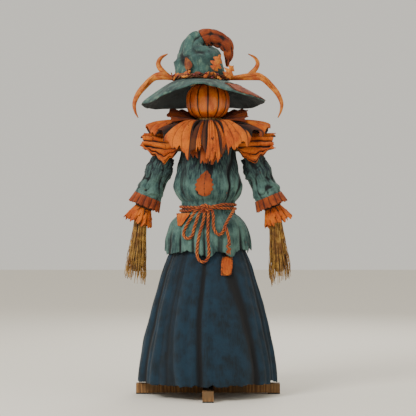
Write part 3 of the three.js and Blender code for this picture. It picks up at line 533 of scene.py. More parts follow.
ropePieces, ropePaths = {}, {}
for name, route in routes.items():
    points = [Vector(point) + Vector((0, 0, waistHeight)) for point in route]
    ropePaths[name] = smoothPath(points, ropeLook["spacing"])
    mesh = emptyMesh()
    layRope(mesh, ropePaths[name])
    ropePieces[name] = finishPiece(name + "_laid", mesh, ropeFibre, "stand", [name])

endKnot = emptyMesh()
knotMiddle = ropePaths["rope_tail"][-1]
coil = [knotMiddle + Vector((endLook["coil"] * math.cos(t), endLook["coil"] * math.sin(t),
                             endLook["rise"] - endLook["pitch"] * t))
        for t in [step * math.pi / 14 for step in range(46)]]
layRope(endKnot, coil, endLook["yarn"], 12)
fray = [[knotMiddle + Vector((2 * math.sin(k), 2 * math.cos(k), -8)),
         knotMiddle + Vector((5 * math.sin(k), 5 * math.cos(k), -22 - 3 * math.sin(3 * k))),
         knotMiddle + Vector((9 * math.sin(k + 0.4), 8 * math.cos(k + 0.4), -34 - 4 * math.sin(5 * k)))]
        for k in range(endLook["strands"])]
for strand in fray:
    sweep(endKnot, smoothPath(strand, 7), 6, lambda share, angle: (1.6 - 0.9 * share, 0.7))
endKnot = finishPiece("rope_end_knot", endKnot, ropeFibre, "stand")

tunicTable = [(26, 50), (40, 74), (53, 93), (88, 107), (138, 113), (181, 121), (224, 133), (273, 147),
              (310, 134), (338, 107), (386, 107), (400, 128), (418, 147), (458, 162), (498, 167), (538, 170)]
tunicDepth = [(26, 0.8), (138, 0.78), (224, 0.8), (318, 0.83), (362, 0.85), (538, 0.86)]
beltSteps, clear, fade = beltLook["turns"] * beltLook["steps"], beltLook["clear"], beltLook["tuckSteps"]
helix = []
for step in range(beltSteps):
    angle = 2 * math.pi * step / beltLook["steps"]
    drop = neckHeight - waistHeight + beltLook["pitch"] * (step / beltLook["steps"] - beltLook["turns"] / 2)
    tuck = max(0, 1 - step / fade) - max(0, 1 - (beltSteps - 1 - step) / fade)
    half, height = between(tunicTable, drop), neckHeight - drop - beltLook["tuck"] * tuck
    helix.append(around(half + clear, half * between(tunicDepth, drop) + clear, angle, height))
belt = emptyMesh()
layRope(belt, smoothPath(helix, ropeLook["spacing"]))
finishPiece("belt_rope_laid", belt, ropeFibre, "stand", ["belt_rope"])

knotLow, knotHigh = boxOf("belt_knot")
knotMiddle, knotHalf = (knotLow + knotHigh) / 2, (knotHigh - knotLow) / 2
knotPath = []
for step in range(121):
    t = 2 * math.pi * step / 120
    bulge = (2 + math.cos(3 * t)) / 3
    knotPath.append(knotMiddle + Vector((bulge * math.cos(2 * t) * (knotHalf.x - 4),
                                         math.sin(3 * t) * (knotHalf.y - 5),
                                         bulge * math.sin(2 * t) * (knotHalf.z - 3))))
knot = emptyMesh()
layRope(knot, smoothPath(knotPath, 2.2), ropeLook["knotRadius"], 16)
finishPiece("belt_knot_tied", knot, ropeFibre, "stand", ["belt_knot"])

for name, piece in ropePieces.items():
    path = ropePaths[name]
print("ropes made")


# Tunic: drapes across the chest, gathers at the rope, vertical folds in its short skirt, torn hem.
tunicLook = {"columns": 264, "rows": 110, "drape": 16, "gather": 6, "skirtFold": 15, "tatter": 16,
             "folds": 10, "creases": 23, "gathers": 34, "skirtFolds": 15, "skirtCreases": 37, "lump": 3.5,
             "wall": 2.4}


def tunicPlace(u, v):
    angle, look = 2 * math.pi * u, tunicLook
    hem, top = tunicTable[-1][0], tunicTable[0][0]
    torn = look["tatter"] * (abs(rough(angle, 0, 1, 5.5)) * 1.6 - 0.35 + 0.4 * abs(rough(angle, 7, 1, 17)))
    lobe = 30 * math.exp(-((angle - 5.05) / 0.22) ** 2)
    ragged = 14 - 24 * math.sin(angle) ** 2 + 7 * math.cos(9 * angle + 1) + torn + lobe
    drop = top + (hem - top) * (1 - v) + ragged * (1 - v) ** 6
    waist = neckHeight - waistHeight
    below = min(1, max(0, (drop - waist - 12) / 130))
    near = math.exp(-((drop - waist) / 34) ** 2)
    flat = min(1, abs(drop - waist) / 16)
    rise = (waist - drop) / 300
    drawn = angle - 0.85 * math.sin(angle) * rise + 0.34 * rough(angle, drop, 150, 1.4)
    upper = (1 - below) * min(1, max(0, (waist - drop) / 60))
    drape = 0.62 * pleat(look["folds"] * drawn + 1) + 0.38 * pleat(look["creases"] * drawn + 2 * rise)
    chest = 1 - (1 - drape) * upper
    gather = pleat(look["gathers"] * (angle + 0.05 * rough(angle, drop, 60, 3)))
    folded = angle + 0.16 * math.sin(3 * angle + 1) + 0.1 * rough(angle, drop, 240, 2)
    skirt = 0.7 * pleat(look["skirtFolds"] * folded) + 0.3 * pleat(look["skirtCreases"] * folded + 1)
    push = (look["drape"] * (chest - 0.7) * min(1, drop / 90) + look["gather"] * (gather - 0.7) * near
            + look["skirtFold"] * (skirt - 0.45) * below
            + look["lump"] * rough(angle, drop, 45, 2.5)) * flat
    # painted shade: dark in the fold valleys, at the gathers by the rope and towards the neck under the
    # collar
    openness = 1 - 2.1 * (1 - chest) ** 1.9 - 0.8 * (1 - gather) * near
    openness -= 1.35 * (1 - skirt) ** 1.3 * below
    if drop < 120:
        openness *= 0.75 + 0.25 * drop / 120
    half = eased(tunicTable, drop) if abs(drop - waist) > 40 else between(tunicTable, drop)
    depth = half * between(tunicDepth, drop)
    return around(half + push, depth + push, angle, neckHeight - drop), max(0, openness)


tunicMesh = clothMesh(tunicLook["columns"], tunicLook["rows"], tunicPlace, (820, 540))
surfaces["tunic"] = BVHTree.FromBMesh(tunicMesh)
tunic = finishPiece("tunic_sewn", tunicMesh, tunicCloth, "stand", ["tunic"],
                    tunicLook["wall"])

# Robe: falls from the rope in deep folds that open out to a wide torn hem.
robeTable = [(363, 91), (388, 100), (418, 124), (498, 146), (538, 156), (586, 177)]
robeLook = {"columns": 300, "rows": 100, "fold": 28, "tatter": 14, "hemHalf": 288, "folds": 11,
            "creases": 25, "lump": 4, "wall": 2.4, "flatness": 0.84, "rounder": 0.11}


def robePlace(u, v):
    angle = 2 * math.pi * u
    look, (skirtTop, skirtHalf) = robeLook, robeTable[-1]
    top, hem = robeTable[0][0], neckHeight - hemHeight
    torn = look["tatter"] * (abs(rough(angle, 3, 1, 8)) - 0.35 + 0.5 * abs(rough(angle, 9, 1, 26)))
    drop = top + (hem - top) * (1 - v) - max(-4, torn) * (1 - v) ** 8
    below = min(1, max(0, (drop - skirtTop) / (hem - skirtTop)))
    width = eased(robeTable, drop) + (look["hemHalf"] - skirtHalf) * (1 - (1 - below) ** 1.5)
    folded = (angle + 0.13 * math.sin(3 * angle + 2) + 0.09 * math.sin(5 * angle)
              + 0.16 * rough(angle, drop, 420, 1.6))
    crease = pleat(look["creases"] * folded + 0.3 * rough(angle, drop, 150, 3))
    deep = 0.68 * pleat(look["folds"] * folded + 0.5) + 0.32 * crease
    push = look["fold"] * (0.25 + 0.75 * below ** 0.7) * (deep - 0.66)
    push += look["lump"] * rough(angle, drop, 90, 4)
    depth = width * (look["flatness"] + look["rounder"] * below)
    # painted shade in the fold valleys
    openness = 1 - 1.3 * (1 - deep) ** 1.15
    return around(width + push, depth + push, angle, neckHeight - drop), max(0, openness)


robeMesh = clothMesh(robeLook["columns"], robeLook["rows"], robePlace, (1650, 720))
surfaces["robe"] = BVHTree.FromBMesh(robeMesh)
robe = finishPiece("robe_sewn", robeMesh, robeCloth, "stand", ["robe"], robeLook["wall"])
print("tunic and robe made")


# Collars: ragged petals of hessian over a pleated ruff, with torn rust strips below and a fan behind.
collarLook = {"neck": 48, "front": (152, 160), "side": (262, 30), "ridge": 12, "curl": 22}
underLook = {"front": (128, 186), "side": (150, 34), "below": 12, "folds": 18, "fold": 10}
fanLook = {"from": 0.38, "over": 1.24, "neck": 50, "reach": 116, "above": 7, "rise": 48, "folds": 17,
           "fold": 12}


def ruffPoint(angle, out, front, side, neck):
    sideShare = (math.sin(angle) ** 2) ** 1.6
    reach = front[0] + (side[0] - front[0]) * sideShare
    fall = front[1] + (side[1] - front[1]) * sideShare
    radius = collarLook["neck"] + (reach - collarLook["neck"]) * math.sin(min(1.3, out) * math.pi / 2)
    return around(radius, radius, angle, neck - fall * (1 - math.cos(min(1.3, out) * math.pi / 2)))


def ruffPlace(u, v):
    angle, out = 2 * math.pi * u, 1 - v
    torn = 0.8 + 0.08 * math.cos(14 * angle) + 0.14 * rough(angle, 2, 1, 7)
    lift = pleat(24 * angle + 2 * rough(angle, out * 100, 80, 3))
    point = ruffPoint(angle, out * (1 + (torn - 1) * out), collarLook["front"], collarLook["side"],
                      neckHeight - 9)
    point.z += 10 * (lift - 0.7) * min(1, 2 * out) + 13 * max(0, 1 - 5 * out)
    # painted shade: the ruff is kept almost black so the gaps between the petals read as shadow
    return point, 0.16 * lift ** 2


def petalPlace(middle, spread, reach, lift, seed):
    # A petal is narrow at the neck, opens like a trumpet and ends in a torn edge that curls under.
    def place(u, v):
        out, side = 1 - v, 2 * u - 1
        edge = abs(side)
        sway = 0.22 * noiseAt(out * 2.5, seed, side) * out
        angle = math.radians(middle + spread * (side * (0.62 + 0.38 * out) + sway))
        torn = (0.16 * noiseAt(side * 2.2, seed, 1)
                + 0.06 * noiseAt(side * 7, seed, 2)
                + 0.025 * noiseAt(side * 19, seed, 3) - 0.1 * edge ** 3)
        waver = 0.35 * noiseAt(side * 1.6, out * 2.2, seed)
        ridge = pleat((side * 1.5 + waver) * 2.2 * math.pi + seed)
        point = ruffPoint(angle, out * (reach + torn * out), collarLook["front"], collarLook["side"],
                          neckHeight)
        point.z += lift * min(1, 3 * out) + collarLook["ridge"] * (ridge - 0.6) * min(1, 1.6 * out)
        point.z -= collarLook["curl"] * edge ** 2.4 * min(1, 1.5 * out)
        # painted shade: dark at the neck, in the valleys between ridges and along the curled edges
        openness = min(1, 0.05 + 1.9 * out) - 0.85 * (1 - ridge) ** 1.9 * min(1, 2 * out) - 0.8 * edge ** 7
        return point, max(0, openness)
    return place


collar = clothMesh(216, 22, ruffPlace, (900, 170))
petals = [(-85, 19, 1.03, 9, 1.1), (85, 19, 1.03, 9, 2.3), (-43, 17, 1.06, 13, 3.7),
          (43, 16, 1.01, 13, 4.2), (8, 11, 1.08, 14, 5.9), (-16, 5, 0.84, -1, 7.5), (26, 4, 0.8, -2, 9.9),
          (123, 17, 0.98, 10, 10.6), (-123, 17, 0.98, 10, 11.3), (160, 15, 1.0, 12, 12.7),
          (-160, 15, 1.0, 12, 13.2)]
for middle, spread, reach, lift, seed in petals:
    clothMesh(40, 26, petalPlace(middle, spread, reach, lift, seed), (150, 190), False, collar)
collar = finishPiece("collar_petals", collar, orangeCloth, "stand", ["collar_front"], 2.2)


def underPlace(u, v):
    angle, out = 2 * math.pi * u, 1 - v
    strip = 0.5 * rough(angle, 5, 1, 2.4) + 0.35 * rough(angle, 8, 1, 11) + 0.4 * rough(angle, 4, 1, 27)
    torn = 0.84 + 0.15 * strip + 0.1 * math.exp(-(math.sin(angle + 0.1) / 0.35) ** 2)
    lift = pleat(underLook["folds"] * angle + 2.5 * rough(angle, out * 120, 70, 3))
    point = ruffPoint(angle, out * (1 + (torn - 1) * out ** 2), underLook["front"], underLook["side"],
                      neckHeight - underLook["below"])
    point += around(1, 1, angle, 0) * underLook["fold"] * (lift - 0.6) * out
    # painted shade in the fold valleys
    return point, max(0, 0.95 - 1.2 * (1 - lift) ** 1.2)


under = finishPiece("collar_strips", clothMesh(260, 26, underPlace, (760, 190)), rustCloth, "stand",
                    ["collar_under"], 2)


def fanPlace(u, v):
    look, out = fanLook, 1 - v
    angle = math.pi * (look["from"] + look["over"] * u)
    torn = 1 + 0.03 * math.cos(look["folds"] * angle) + 0.08 * rough(angle, 6, 1, 12)
    fold = pleat(look["folds"] * angle + 1.5 * rough(angle, out * 60, 50, 2))
    radius = look["neck"] + look["reach"] * torn * out
    stand = 1.2 * min(1, math.sin(math.pi * u) * 2.0) ** 0.9 - 0.2
    height = look["above"] + look["rise"] * stand * out ** 0.9 + look["fold"] * (fold - 0.7) * out
    # painted shade: dark near the neck and in the fold valleys
    openness = min(1, 0.1 + 1.5 * out) - 0.9 * (1 - fold) ** 1.7
    return around(radius, radius, angle, neckHeight + height), max(0, openness)


fan = finishPiece("collar_fan", clothMesh(180, 18, fanPlace, (640, 125), False), rustCloth, "stand",
                  ["collar_back"], 2.5)

# Capes over the shoulders, pleated out from the collar.
capeLook = {"inner": 114, "outer": 284, "spring": 116, "crest": 63, "fold": 17, "folds": 10, "half": 63,
            "widen": 9}
capeFlap = [(0, -18), (0.2, 28), (0.42, 56), (0.72, 16), (1, -24)]
for side, sign in (("left", -1), ("right", 1)):
    def capePlace(u, v, sign=sign, look=capeLook):
        out = 1 - u if sign < 0 else u
        bend = (1.1 * noiseAt(out * 1.5, v * 3, sign)
                + 0.4 * noiseAt(out * 5, v * 11, sign))
        fold = pleat(2 * math.pi * look["folds"] * v + 2.2 * bend + 2.4 * out * (v - 0.5))
        frayed = 1.6 * noiseAt(v * 9, sign, 3) + noiseAt(v * 31, sign, 5)
        x = look["inner"] + (look["outer"] - look["inner"]) * out * (1 - 0.09 * out ** 3 * (1 - frayed))
        amount = min(1, 0.25 + 1.3 * out)
        push = look["fold"] * (fold - 0.7) * amount
        turn = math.pi * min(1, max(0, (v - 0.2) / 0.6))
        ragged = 1 + 0.35 * noiseAt(out * 9, v, sign * 4)
        down = (between(capeFlap, out) + 6) * ragged * max(0, abs(v - 0.5) - 0.3) * 5
        height = neckHeight - look["spring"] + (look["crest"] + push) * math.sin(turn) - down
        halfWidth = look["half"] + look["widen"] * out + push
        # painted shade: dark at the inner edge under the collar and in the fold valleys
        openness = min(1, 0.15 + 3 * out) - 1.3 * (1 - fold) ** 1.2 * amount
        return Vector((sign * x, -halfWidth * math.cos(turn), height)), max(0, openness)
    cape = finishPiece(f"capelet_{side}_sewn", clothMesh(40, 170, capePlace, (175, 330), False),
                       orangeCloth, "stand", [f"capelet_{side}"], 2.2)
print("collars made")


# Arms: each is made hanging straight down from its bolt and then tilted outwards.
armLook = {"tilt": 22.5, "top": 40, "wrist": 262, "pinch": 154}
handLook = {"stalks": 150, "tilt": 5, "bend": 300, "start": 262, "length": 268}
ruffleLook = {"top": 224, "topRadius": 58, "hemRadius": 66, "pleats": 14, "deep": 9, "spike": 7}
frillLook = {"hem": 336, "hemRadius": 58, "innerHem": 312, "innerRadius": 49}
tieLook = {"radius": 34.5, "pitch": 4.2, "yarn": 2.5, "looseYarn": 2.0}
sleeveTable = [(40, 44), (80, 51), (120, 57), (148, 50), (162, 51), (200, 59), (240, 53), (262, 40)]
strawTable = [(0, 24), (0.15, 26), (0.4, 31), (0.7, 39), (0.93, 44), (1, 41)]


def straight(start, end, bow, steps):
    return [start.lerp(end, step / steps) + bow * math.sin(math.pi * step / steps)
            for step in range(steps + 1)]


def strawStalk(mesh, path, radius):
    tone = luck.uniform(0.35, 1.0)

    def stalkSkin(share, angle):
        # a random tone for the stalk, with painted shade towards its root end
        return radius * (1 - 0.35 * share), tone * (0.55 + 0.45 * min(1, 3 * share))
    sweep(mesh, path, 5, stalkSkin)


for side, sign in (("left", -1), ("right", 1)):
    tilt = math.radians(armLook["tilt"])
    bolt = (sign * shoulderSpan * mm, 0, shoulderHeight * mm)
    setArm = Matrix.Translation(bolt) @ Matrix.Rotation(-sign * tilt, 4, "Y")
    wrist = armLook["wrist"]

    def finishArm(name, mesh, material, nodes=(), thickness=0.0):
        bmesh.ops.transform(mesh, matrix=setArm, verts=mesh.verts[:])
        return finishPiece(f"{name}_{side}", mesh, material, f"arm_{side}", nodes, thickness)

    def sleevePlace(u, v):
        angle, drop = 2 * math.pi * u, wrist + (armLook["top"] - wrist) * v
        wrap = angle + sign * 0.7
        fold = pleat(7 * wrap + 0.03 * drop * sign + 3.2 * rough(angle, drop, 80, 1.2))
        crumple = drop + 24 * math.sin(wrap + 0.01 * drop) + 34 * rough(angle, drop, 60, 1.1)
        ring = 0.6 * pleat(crumple / 8) + 0.4 * pleat(crumple / 4.3 + 5 * rough(angle, drop, 35, 2))
        pinch = math.exp(-((drop - armLook["pinch"]) / 13) ** 2) + math.exp(-((drop - wrist) / 18) ** 2)
        push = (5 * (fold - 0.65) * (0.6 + 0.8 * pinch) + 7 * (ring - 0.66) * (1 - 0.6 * pinch)
                + 4 * rough(angle, drop, 40, 1.8))
        radius = between(sleeveTable, drop) + push
        # painted shade: dark in the folds and rings, at the pinches and at the top of the sleeve under the
        # cape
        openness = (1 - 0.7 * (1 - fold) ** 1.6 - 0.8 * (1 - ring) ** 2 - 0.4 * min(1, pinch)
                    - 0.5 * max(0, 1 - (drop - armLook["top"]) / 75))
        return around(radius, radius, angle, -drop), max(0, openness)
    sleeve = finishArm("sleeve_sewn", clothMesh(140, 90, sleevePlace, (330, 240)), tunicCloth,
                       [f"sleeve_{side}"], 2.2)

    def frillPlace(top, hem, pleats, deep, spike, seed):
        def place(u, v):
            angle, out = 2 * math.pi * u, 1 - v
            fold = pleat(pleats * angle + rough(angle, out * 40, 30, 2) + seed)
            radius = top[1] + (hem[1] - top[1]) * out ** 0.9 + deep * (fold - 0.55) * (0.3 + 0.7 * out)
            torn = spike * (pleat(pleats * 1.5 * angle + seed) - 0.6
                            + 0.8 * rough(angle, seed, 1, 6)) * out ** 2
            drop = top[0] + (hem[0] - top[0]) * out + torn
            # the second value is painted shade in the fold valleys
            return around(radius, radius, angle, -drop), 1 - 0.95 * (1 - fold) ** 1.3
        return place
    top, hem = (ruffleLook["top"], ruffleLook["topRadius"]), (wrist + 5, ruffleLook["hemRadius"])
    place = frillPlace(top, hem, ruffleLook["pleats"], ruffleLook["deep"], ruffleLook["spike"], 1)
    ruffle = finishArm("cuff_ruffle_sewn", clothMesh(132, 14, place, (390, 48)), rustCloth,
                       [f"cuff_ruffle_{side}"], 2)
    outer = frillLook["hem"], frillLook["hemRadius"]
    inner = frillLook["innerHem"], frillLook["innerRadius"]
    frill = clothMesh(132, 22, frillPlace((wrist + 12, 33), outer, 13, 13, 17, 2), (380, 70))
    clothMesh(120, 16, frillPlace((wrist + 13, 31), inner, 11, 11, 12, 4), (330, 50), True, frill)
    frill = finishArm("cuff_frill_sewn", frill, orangeCloth, [f"cuff_frill_{side}"], 2)

    tie = emptyMesh()
    wound = [around(tieLook["radius"], tieLook["radius"], 2 * math.pi * step / 28,
                    -(wrist + 2.5) - tieLook["pitch"] * step / 28) for step in range(76)]
    layRope(tie, smoothPath(wound, 2.2), tieLook["yarn"], 9)
    for lean in (-0.35, 0.3):
        loose = [around(35, 35, lean / 2, -(wrist + 6)), around(39, 41, lean, -(wrist + 20)),
                 around(42, 47, lean * 1.6, -(wrist + 52))]
        layRope(tie, smoothPath(loose, 2.2), tieLook["looseYarn"], 9)
    finishArm("wrist_tie_wound", tie, twineFibre, [f"wrist_tie_{side}"])

    turn = math.radians(armLook["tilt"] - handLook["tilt"])

    def strawAt(share):
        long = handLook["start"] + (handLook["bend"] + handLook["length"] - handLook["start"]) * share
        past = max(0, long - handLook["bend"])
        return Vector((-sign * past * math.sin(turn), 0,
                       -min(long, handLook["bend"]) - past * math.cos(turn)))
    hand = emptyMesh()
    core = [strawAt(0.02 + 0.9 * step / 26) for step in range(27)]

    def coreSkin(share, angle):
        narrow = (1 - 0.6 * max(0, share - 0.85) / 0.15) * (0.8 + 0.1 * math.sin(9 * angle + 7 * share))
        # the core is painted almost wholly in shade, as the inside of the bundle
        return between(strawTable, share * 0.92) * narrow, 0.18
    sweep(hand, core, 26, coreSkin)
    for stalk in range(handLook["stalks"]):
        aim = luck.uniform(0, 2 * math.pi)
        ring = math.sqrt(luck.uniform(0.45, 1.0))
        sway = luck.uniform(-0.5, 0.5)
        long = luck.uniform(0.7, 1.06) if stalk % 3 else luck.uniform(0.92, 1.08)
        path = []
        for step in range(8):
            share = long * step / 7
            stray = 1 + 0.12 * luck.uniform(-1, 1) * share
            spread = between(strawTable, share) * ring * stray * (1.0 + 0.22 * share ** 3)
            aimed = aim + sway * share
            path.append(strawAt(share) + Vector((spread * math.sin(aimed), -spread * math.cos(aimed), 0)))
        strawStalk(hand, path, luck.uniform(1.1, 1.9))
    finishArm("straw_hand_bound", hand, strawFibre, [f"straw_hand_{side}"])

    filling = emptyMesh()
    core = [Vector((0, 0, -drop)) for drop in range(72, 252, 6)]

    def fillingSkin(share, angle):
        rounded = 12 + 8 * (2 * share - 1) ** 8 - 1.5 * math.sin(11 * angle + 20 * share)
        return between(sleeveTable, 72 + 178 * share) - rounded, 0.8
    sweep(filling, core, 30, fillingSkin)
    filling = finishArm("sleeve_stuffing", filling, wadding, [f"sleeve_filling_{side}"])
print("arms made")

# Head: a ribbed pumpkin with a dry, ridged stem, turning on the post's spigot.
pumpkinLook = {"radius": 92, "height": 140, "lobes": 12, "groove": 0.085, "squareness": 0.8}
middle = (pumpkinLow + pumpkinHigh) / 2
pumpkin = bmesh.new()
bmesh.ops.create_uvsphere(pumpkin, u_segments=192, v_segments=72, radius=1)
pumpkin.loops.layers.uv.new("lay")
shade = pumpkin.verts.layers.float.new("shade")
for vert in pumpkin.verts:
    angle = math.atan2(vert.co.x, -vert.co.y)
    tilt = math.asin(max(-1, min(1, vert.co.z))) * 0.985
    wander = angle + 0.02 * noiseAt(math.sin(angle) * 2, math.cos(angle) * 2, tilt)
    valley = abs(math.cos(wander * pumpkinLook["lobes"] / 2)) ** 7
    deep = pumpkinLook["groove"] * (0.85 + 0.3 * rough(round(wander * 1.9), 3, 1)) * valley
    across = pumpkinLook["radius"] * max(1e-6, math.cos(tilt)) ** pumpkinLook["squareness"]
    dimple = 10 * max(0, 1 - across / (0.5 * pumpkinLook["radius"]))
    rise = min(1, 1.08 * abs(math.sin(tilt)) ** pumpkinLook["squareness"]) * pumpkinLook["height"] / 2
    across *= 1 - deep + 0.008 * noise.noise(Vector((math.sin(angle), math.cos(angle), tilt * 2)) * 3)
    height = middle.z + (rise - dimple) * math.copysign(1, tilt)
    vert.co = around(across, across, angle, height) * mm
    ends = max(0, abs(tilt) - 1.0) / 0.55
    # painted shade: dark in the grooves between the lobes and towards the top and bottom
    vert[shade] = max(0, 1 - 1.1 * valley ** 1.7 - 0.9 * ends)
pumpkin = finishPiece("pumpkin_ribbed", pumpkin, rind, "head", ["pumpkin"])

stem = emptyMesh()
stemPath = smoothPath([(0, 0, pumpkinTop - 6), (1, 0, pumpkinTop + 6), (5, 0, pumpkinTop + 22),
                       (12, 0, pumpkinTop + 36)], 2)


def stemSkinAt(share, angle):
    rib = pleat(5 * (angle + 0.6 * share))
    # the second value is painted shade, dark between the ribs
    return (17 - 8 * share + 9 * (1 - share) ** 8 + 3 * share ** 6) * (0.82 + 0.18 * rib), 0.2 + 0.8 * rib


sweep(stem, stemPath, 40, stemSkinAt)
finishPiece("pumpkin_stem_ridged", stem, stemSkin, "head", ["pumpkin_stem"])
print("head made")

# Hat: wavy felt brim, creased crown with a folded tip, twig wreath, leaves, berries and maize husks.
hatLook = {"mouth": 104, "reach": (202, 240, 244, 270), "fall": (30, 98, 102, 92), "brimWall": 5.5,
           "wave": 9}
crownTable = [(0, 0, 104), (-1, 18, 104), (-6, 50, 104), (-12, 93, 101), (-18, 122, 80), (-20, 142, 62),
              (-12, 160, 51), (8, 172, 43)]
tipTable = [(10, 173.5, 43), (17, 177, 41.5), (42, 182, 38), (70, 174, 34), (100, 158, 31), (115, 132, 27),
            (117, 104, 20), (114, 80, 13), (111, 58, 4)]
hatCentre = Vector((hatMiddle, 0, hatBase))


def mixSides(values, angle):
    shares = [max(0, math.cos(angle)) ** 2, max(0, -math.cos(angle)) ** 2, max(0, -math.sin(angle)) ** 2,
              max(0, math.sin(angle)) ** 2]
    return sum(share * value for share, value in zip(shares, values))


def brimPlace(u, v):
    angle, out = 2 * math.pi * u, 1 - v
    torn = 1 + 0.012 * math.cos(9 * angle + 1) + 0.012 * math.cos(5 * angle) + 0.02 * rough(angle, 3, 1, 6)
    reach = mixSides(hatLook["reach"], angle) * torn
    radius = hatLook["mouth"] + 1 + (reach - hatLook["mouth"]) * out
    ripple = (3 * math.cos(4 * angle) + hatLook["wave"] * rough(angle, out, 1.5, 2.4)
              + 3 * rough(angle, out * 2, 1, 7))
    height = -mixSides(hatLook["fall"], angle) * out ** 1.25 - 2 * gap + ripple * out ** 2
    curl = 3.5 * max(0, out - 0.9) / 0.1
    shadeHere = 0.62 + 0.9 * rough(angle, out * 3, 1, 2.2) - 0.35 * max(0, 0.15 - out) / 0.15
    return around(radius, radius, angle, height - curl) + hatCentre, max(0, min(1, shadeHere + 0.25))


brimMesh = clothMesh(220, 30, brimPlace, (1350, 150))
# the brim's underside gets the near-black cloth: painted shade
finishPiece("hat_brim_felted", brimMesh, felt, "hat", ["hat_brim"], hatLook["brimWall"], 1,
            paintedBrimShade)


def limbMesh(table, columns, rows, skin, size):
    # the same rows as the table, joined by a smooth spine
    spine = smoothPath([Vector((x, 0, z)) + hatCentre for x, z, radius in table], 1.0)
    reach = [0.0]
    for (x, z, radius), (nextX, nextZ, nextRadius) in zip(table, table[1:]):
        reach.append(reach[-1] + math.hypot(nextX - x, nextZ - z))
    radii = [(length, row[2]) for length, row in zip(reach, table)]

    def place(u, v):
        angle = 2 * math.pi * u
        index = min(len(spine) - 2, int(v * (len(spine) - 1)))
        share = v * (len(spine) - 1) - index
        tangent = (spine[index + 1] - spine[max(0, index - 1)]).normalized()
        push, openness = skin(angle, v)
        side = Vector((0, 1, 0)).cross(tangent).normalized()
        outwards = side * math.sin(angle) - Vector((0, 1, 0)) * math.cos(angle)
        radius = max(0.4, between(radii, reach[-1] * v) + push)
        return spine[index].lerp(spine[index + 1], share) + outwards * radius, openness
    return clothMesh(columns, rows, place, size)


def crownSkin(angle, v):
    dimple = -17 * math.exp(-((angle - 5.62) / 0.4) ** 2 - ((v - 0.44) / 0.15) ** 2)
    crease = pleat(6 * angle + 9 * v + 2.2 * rough(angle, v * 3, 1, 1.5))
    band = pleat(2 * math.pi * (3.2 * v + 0.5 * rough(angle, v, 1, 1.2)))
    amount = min(1, 4 * v) * min(1, max(0.0, 2.2 * v - 0.35))
    push = dimple + (9 * (crease - 0.75) + 6 * (band - 0.7)) * amount + 4 * rough(angle, v * 5, 1, 2)
    # painted shade in the creases, the bands and the dent
    openness = 1 - 0.75 * (1 - crease) ** 1.5 * amount - 0.5 * (1 - band) ** 1.5 * amount + dimple / 17
    return push - 1, openness


crownMesh = limbMesh(crownTable, 132, 66, crownSkin, (620, 210))
tops = [edge for edge in crownMesh.edges if edge.is_boundary
        and min(v.co.z for v in edge.verts) > (hatBase + 60) * mm]
bmesh.ops.holes_fill(crownMesh, edges=tops, sides=0)
finishPiece("hat_crown_felted", crownMesh, felt, "hat", ["hat_crown"], 3.5)


def tipSkin(angle, v):
    fold = pleat(5 * angle + 5 * v + 2 * rough(angle, v * 3, 1, 1.6))
    band = pleat(2 * math.pi * (4.5 * v + 0.6 * rough(angle, v * 2, 1, 1.5)))
    # painted shade in the folds and bands
    openness = 1 - 0.8 * (1 - fold) ** 1.4 - 0.6 * (1 - band) ** 1.4
    return 6 * (fold - 0.8) * (1 - 0.5 * v) + 4.5 * (band - 0.75), openness


tipMesh = limbMesh(tipTable, 84, 72, tipSkin, (240, 260))
bmesh.ops.holes_fill(tipMesh, edges=[edge for edge in tipMesh.edges if edge.is_boundary], sides=0)
finishPiece("hat_tip_folded", tipMesh, rustCloth, "hat", ["hat_crown_tip"])

vineLow, vineHigh = boxOf("hat_vine")
vineMiddle, vineRadius = (vineLow + vineHigh) / 2, (vineHigh.x - vineLow.x) / 2 - 6
vineCentre = Vector((vineMiddle.x, 0, vineMiddle.z))
wreath = emptyMesh()
for twig in range(5):
    winding = []
    for step in range(181):
        turn = 2 * math.pi * step / 180
        roll = 7 * turn + twig * 2 * math.pi / 5
        offset = 6.4 + 1.6 * math.sin(3 * turn + twig)
        radius = vineRadius + offset * math.cos(roll)
        winding.append(vineCentre + around(radius, radius, turn, offset * math.sin(roll)))

    def twigSkin(share, angle, twig=twig):
        return 2.9 + 0.4 * math.sin(40 * share + twig), 0.3 + 0.15 * twig
    sweep(wreath, smoothPath(winding, 4), 8, twigSkin)
finishPiece("hat_wreath_twisted", wreath, vineBark, "hat", ["hat_vine"])


def leafWidth(v, kind):
    body = math.sin(math.pi * min(1, v ** 0.75)) ** 0.75
    if kind == "oak":
        return body * (0.3 + 0.78 * abs(math.sin(math.pi * 3.4 * v + 0.5)) ** 0.8)
    if kind == "beech":
        return body * (0.82 + 0.22 * abs(math.sin(math.pi * 5.5 * v)) ** 1.5)
    if kind == "maple":
        return body * (0.22 + 0.95 * (1 - abs((v * 3.1) % 1 - 0.45) * 1.8))
    return body * (0.9 + 0.1 * abs(math.sin(math.pi * 11 * v)))


def growLeaf(mesh, length, width, kind, curl, place, columns=18, rows=34):
    # A leaf with its stalk end at the origin, growing up Z and facing the front, then moved into place.
    def leafPlace(u, v):
        side = 2 * u - 1
        half = max(0.02, leafWidth(v, kind)) * width / 2
        x = side * half + width * 0.05 * math.sin(5 * v)
        rib = math.exp(-(side * half / 1.1) ** 2)
        veins = math.exp(-(((v * 6.5 - abs(side * half) / width * 5) % 1 - 0.5) / 0.13) ** 2)
        veins *= min(1, abs(side) * 6)
        y = curl * (side ** 2) * leafWidth(v, kind) - curl * 0.9 * (v - 0.5) ** 2 + 0.7 * rib
        openness = 0.95 - 0.5 * rib - 0.4 * veins - 0.3 * (1 - math.sin(math.pi * v))
        return place @ Vector((x, y, (v - 0.5) * length)), max(0, openness)
    return clothMesh(columns, rows, leafPlace, (width, length), False, mesh)


